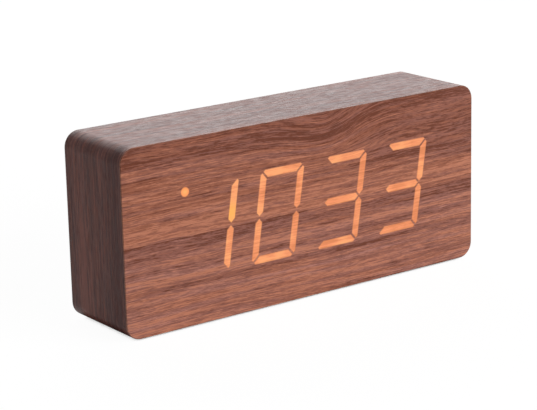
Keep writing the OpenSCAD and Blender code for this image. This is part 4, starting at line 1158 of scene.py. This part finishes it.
# %% Wind the springs with a round wire
SPRING_TURNS = 4
SPRING_WIRE = 0.5 * MM
SPRING_WIDE = 2.8 * MM
SPRING_NARROW = 2.0 * MM
RINGS_PER_TURN = 30
WIRE_SIDES = 12
# Where the wire runs more along the cell than this, its rings are set out from another axis
STEEP = 0.9


def skin_tube(shape, path, radius, sides):
    rings = []
    turns = [2 * math.pi * j / sides for j in range(sides)]
    for k, here in enumerate(path):
        along = (path[min(k + 1, len(path) - 1)] - path[max(k - 1, 0)]).normalized()
        side = along.cross(Vector((1, 0, 0)) if abs(along.x) < STEEP else Vector((0, 0, 1))).normalized()
        other = along.cross(side)
        offsets = [radius * (math.cos(a) * side + math.sin(a) * other) for a in turns]
        rings.append([shape.verts.new(here + offset) for offset in offsets])
    for first, second in zip(rings, rings[1:]):
        for j in range(sides):
            n = (j + 1) % sides
            shape.faces.new((first[j], first[n], second[n], second[j])).smooth = True
    shape.faces.new(rings[0])
    shape.faces.new(rings[-1])


def spring_path(length):
    steps = SPRING_TURNS * RINGS_PER_TURN
    path = [Vector((0, SPRING_WIDE, 0))]
    for k in range(steps + 1):
        share = k / steps
        angle = 2 * math.pi * SPRING_TURNS * share
        radius = SPRING_WIDE + (SPRING_NARROW - SPRING_WIDE) * share
        reach = SPRING_WIRE + (length - 2 * SPRING_WIRE) * share
        path.append(Vector((reach, radius * math.cos(angle), radius * math.sin(angle))))
    return path + [Vector((length, SPRING_NARROW, 0))]


def wind_springs():
    shape = bmesh.new()
    for (low, high), cell in zip(spring_boxes, cell_boxes):
        way = 1 if low.x < cell[0].x else -1
        axis = (cell[0] + cell[1]) / 2
        foot = Vector((low.x if way > 0 else high.x, axis.y, axis.z))
        path = [foot + Vector((way * p.x, way * p.y, p.z)) for p in spring_path(high.x - low.x)]
        skin_tube(shape, path, SPRING_WIRE / 2, WIRE_SIDES)
    piece = add_object("springs", shape)
    piece.data.materials.append(contact_nickel)
    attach(piece, "case")
    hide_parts("battery_springs")
    return piece


springs = wind_springs()
print("springs wound, faces:", len(springs.data.polygons))

# %% [markdown]
# Signs on the back.
# The controls carry signs that need no words: a clock face under the button that sets the time, a
# triangle up and a triangle down, sound waves under the switch for sound control, and the polarity of the
# power socket. On a real cover they are pad-printed, a film of pale ink. Thin plates stand for that film,
# placed from the controls themselves. The arrow on the battery door is moulded with it, so it has the
# finish of the door.

# %% Plates, rings and arcs of ink
INK_T = 0.08 * MM
INK_SINK = 0.02 * MM
LINE = 0.45 * MM
ARC_STEPS = 24
cover_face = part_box("rear_cover")[1].y


def ink_plate(shape, outline):
    low = [shape.verts.new((x, cover_face - INK_SINK, z)) for x, z in outline]
    high = [shape.verts.new((x, cover_face + INK_T, z)) for x, z in outline]
    shape.faces.new(low)
    shape.faces.new(high)
    for k in range(len(outline)):
        n = (k + 1) % len(outline)
        shape.faces.new((low[k], low[n], high[n], high[k]))


def ink_bar(shape, x, z, width, height):
    corners = ((-1, -1), (1, -1), (1, 1), (-1, 1))
    ink_plate(shape, [(x + i * width / 2, z + j * height / 2) for i, j in corners])


def ink_triangle(shape, x, z, size, way):
    base = z - way * size / 3
    ink_plate(shape, [(x - size / 2, base), (x + size / 2, base), (x, z + way * size / 2)])


def round_points(x, z, radius, start=0.0, end=2 * math.pi):
    turns = [start + (end - start) * k / ARC_STEPS for k in range(ARC_STEPS + 1)]
    return [(x + radius * math.cos(a), z + radius * math.sin(a)) for a in turns]


def ink_arc(shape, x, z, radius, start, end):
    outer = round_points(x, z, radius + LINE / 2, start, end)
    inner = round_points(x, z, radius - LINE / 2, start, end)
    ink_plate(shape, outer + inner[::-1])


def ink_disc(shape, x, z, radius):
    ink_plate(shape, round_points(x, z, radius)[:-1])


def ink_ring(shape, x, z, radius):
    outer = radius + LINE / 2
    inner = radius - LINE / 2
    loops = []
    for reach, rise in ((outer, -INK_SINK), (outer, INK_T), (inner, INK_T), (inner, -INK_SINK)):
        points = round_points(x, z, reach)[:-1]
        loops.append([shape.verts.new((px, cover_face + rise, pz)) for px, pz in points])
    for first, second in zip(loops, loops[1:] + loops[:1]):
        for k in range(ARC_STEPS):
            n = (k + 1) % ARC_STEPS
            shape.faces.new((first[k], first[n], second[n], second[k]))


print("face of the cover at y =", round(cover_face / MM, 2), "mm")

# %% Draw the signs, in shares of one size
SIGN = 3.0 * MM
THIN = LINE * 0.8


def clock_sign(shape, x, z):
    ink_ring(shape, x, z, SIGN * 0.55)
    ink_bar(shape, x, z + SIGN * 0.17, LINE, SIGN * 0.5)
    ink_bar(shape, x - SIGN * 0.2, z - LINE / 2, SIGN * 0.3, LINE)


def sound_sign(shape, x, z):
    foot = z - SIGN * 0.4
    ink_disc(shape, x, foot, LINE)
    for count in (1, 2):
        ink_arc(shape, x, foot, count * SIGN * 0.36, math.pi / 4, 3 * math.pi / 4)


def switch_signs(shape, x, z):
    aside = SIGN * 1.9
    ink_bar(shape, x - aside, z, LINE, SIGN * 0.7)
    ink_ring(shape, x + aside, z, SIGN * 0.33)


def polarity_sign(shape, x, z):
    step = SIGN * 1.4
    ink_disc(shape, x, z, SIGN * 0.16)
    ink_arc(shape, x, z, SIGN * 0.48, -0.75 * math.pi, 0.75 * math.pi)
    for side in (-1, 1):
        ink_ring(shape, x + side * step, z, SIGN * 0.38)
        ink_bar(shape, x + side * step, z, SIGN * 0.4, THIN)
    for level in (-1, 1):
        ink_bar(shape, x - step, z + level * SIGN * 0.125, THIN, SIGN * 0.25 - THIN)
    ink_bar(shape, x - SIGN * 0.6, z, SIGN * 0.8, THIN)
    ink_bar(shape, x + SIGN * 0.78, z, SIGN * 0.42, THIN)


print("size of a sign in mm:", round(SIGN / MM, 1))

# %% Place the signs at their controls
SIGN_DROP = 8 * MM
ARROW_RISE = 20 * MM
ARROW = 2 * SIGN


def middle_of(node):
    low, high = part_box(node)
    return (low.x + high.x) / 2, (low.z + high.z) / 2


def finish_signs(name, shape, body, finish):
    piece = add_object(name, shape)
    piece.data.materials.append(finish)
    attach(piece, body)
    return piece


ink = bmesh.new()
set_x, button_z = middle_of("set_button")
sign_z = button_z - SIGN_DROP
clock_sign(ink, set_x, sign_z)
ink_triangle(ink, middle_of("up_button")[0], sign_z, SIGN, 1)
ink_triangle(ink, middle_of("down_button")[0], sign_z, SIGN, -1)
slide_x, slide_z = middle_of("slide_switch_body")
switch_signs(ink, slide_x, slide_z)
sound_sign(ink, slide_x, sign_z)
jack_x, jack_z = middle_of("dc_jack")
polarity_sign(ink, jack_x, jack_z - SIGN_DROP)
printed = finish_signs("printed_signs", ink, "case", pales["ink_white"])

moulding = bmesh.new()
arrow_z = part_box("battery_door")[0].z + ARROW_RISE
ink_triangle(moulding, middle_of("battery_door")[0], arrow_z, ARROW, -1)
arrow = finish_signs("door_arrow", moulding, "door", blacks["cover_black"])
print("signs placed, faces:", len(printed.data.polygons), len(arrow.data.polygons))
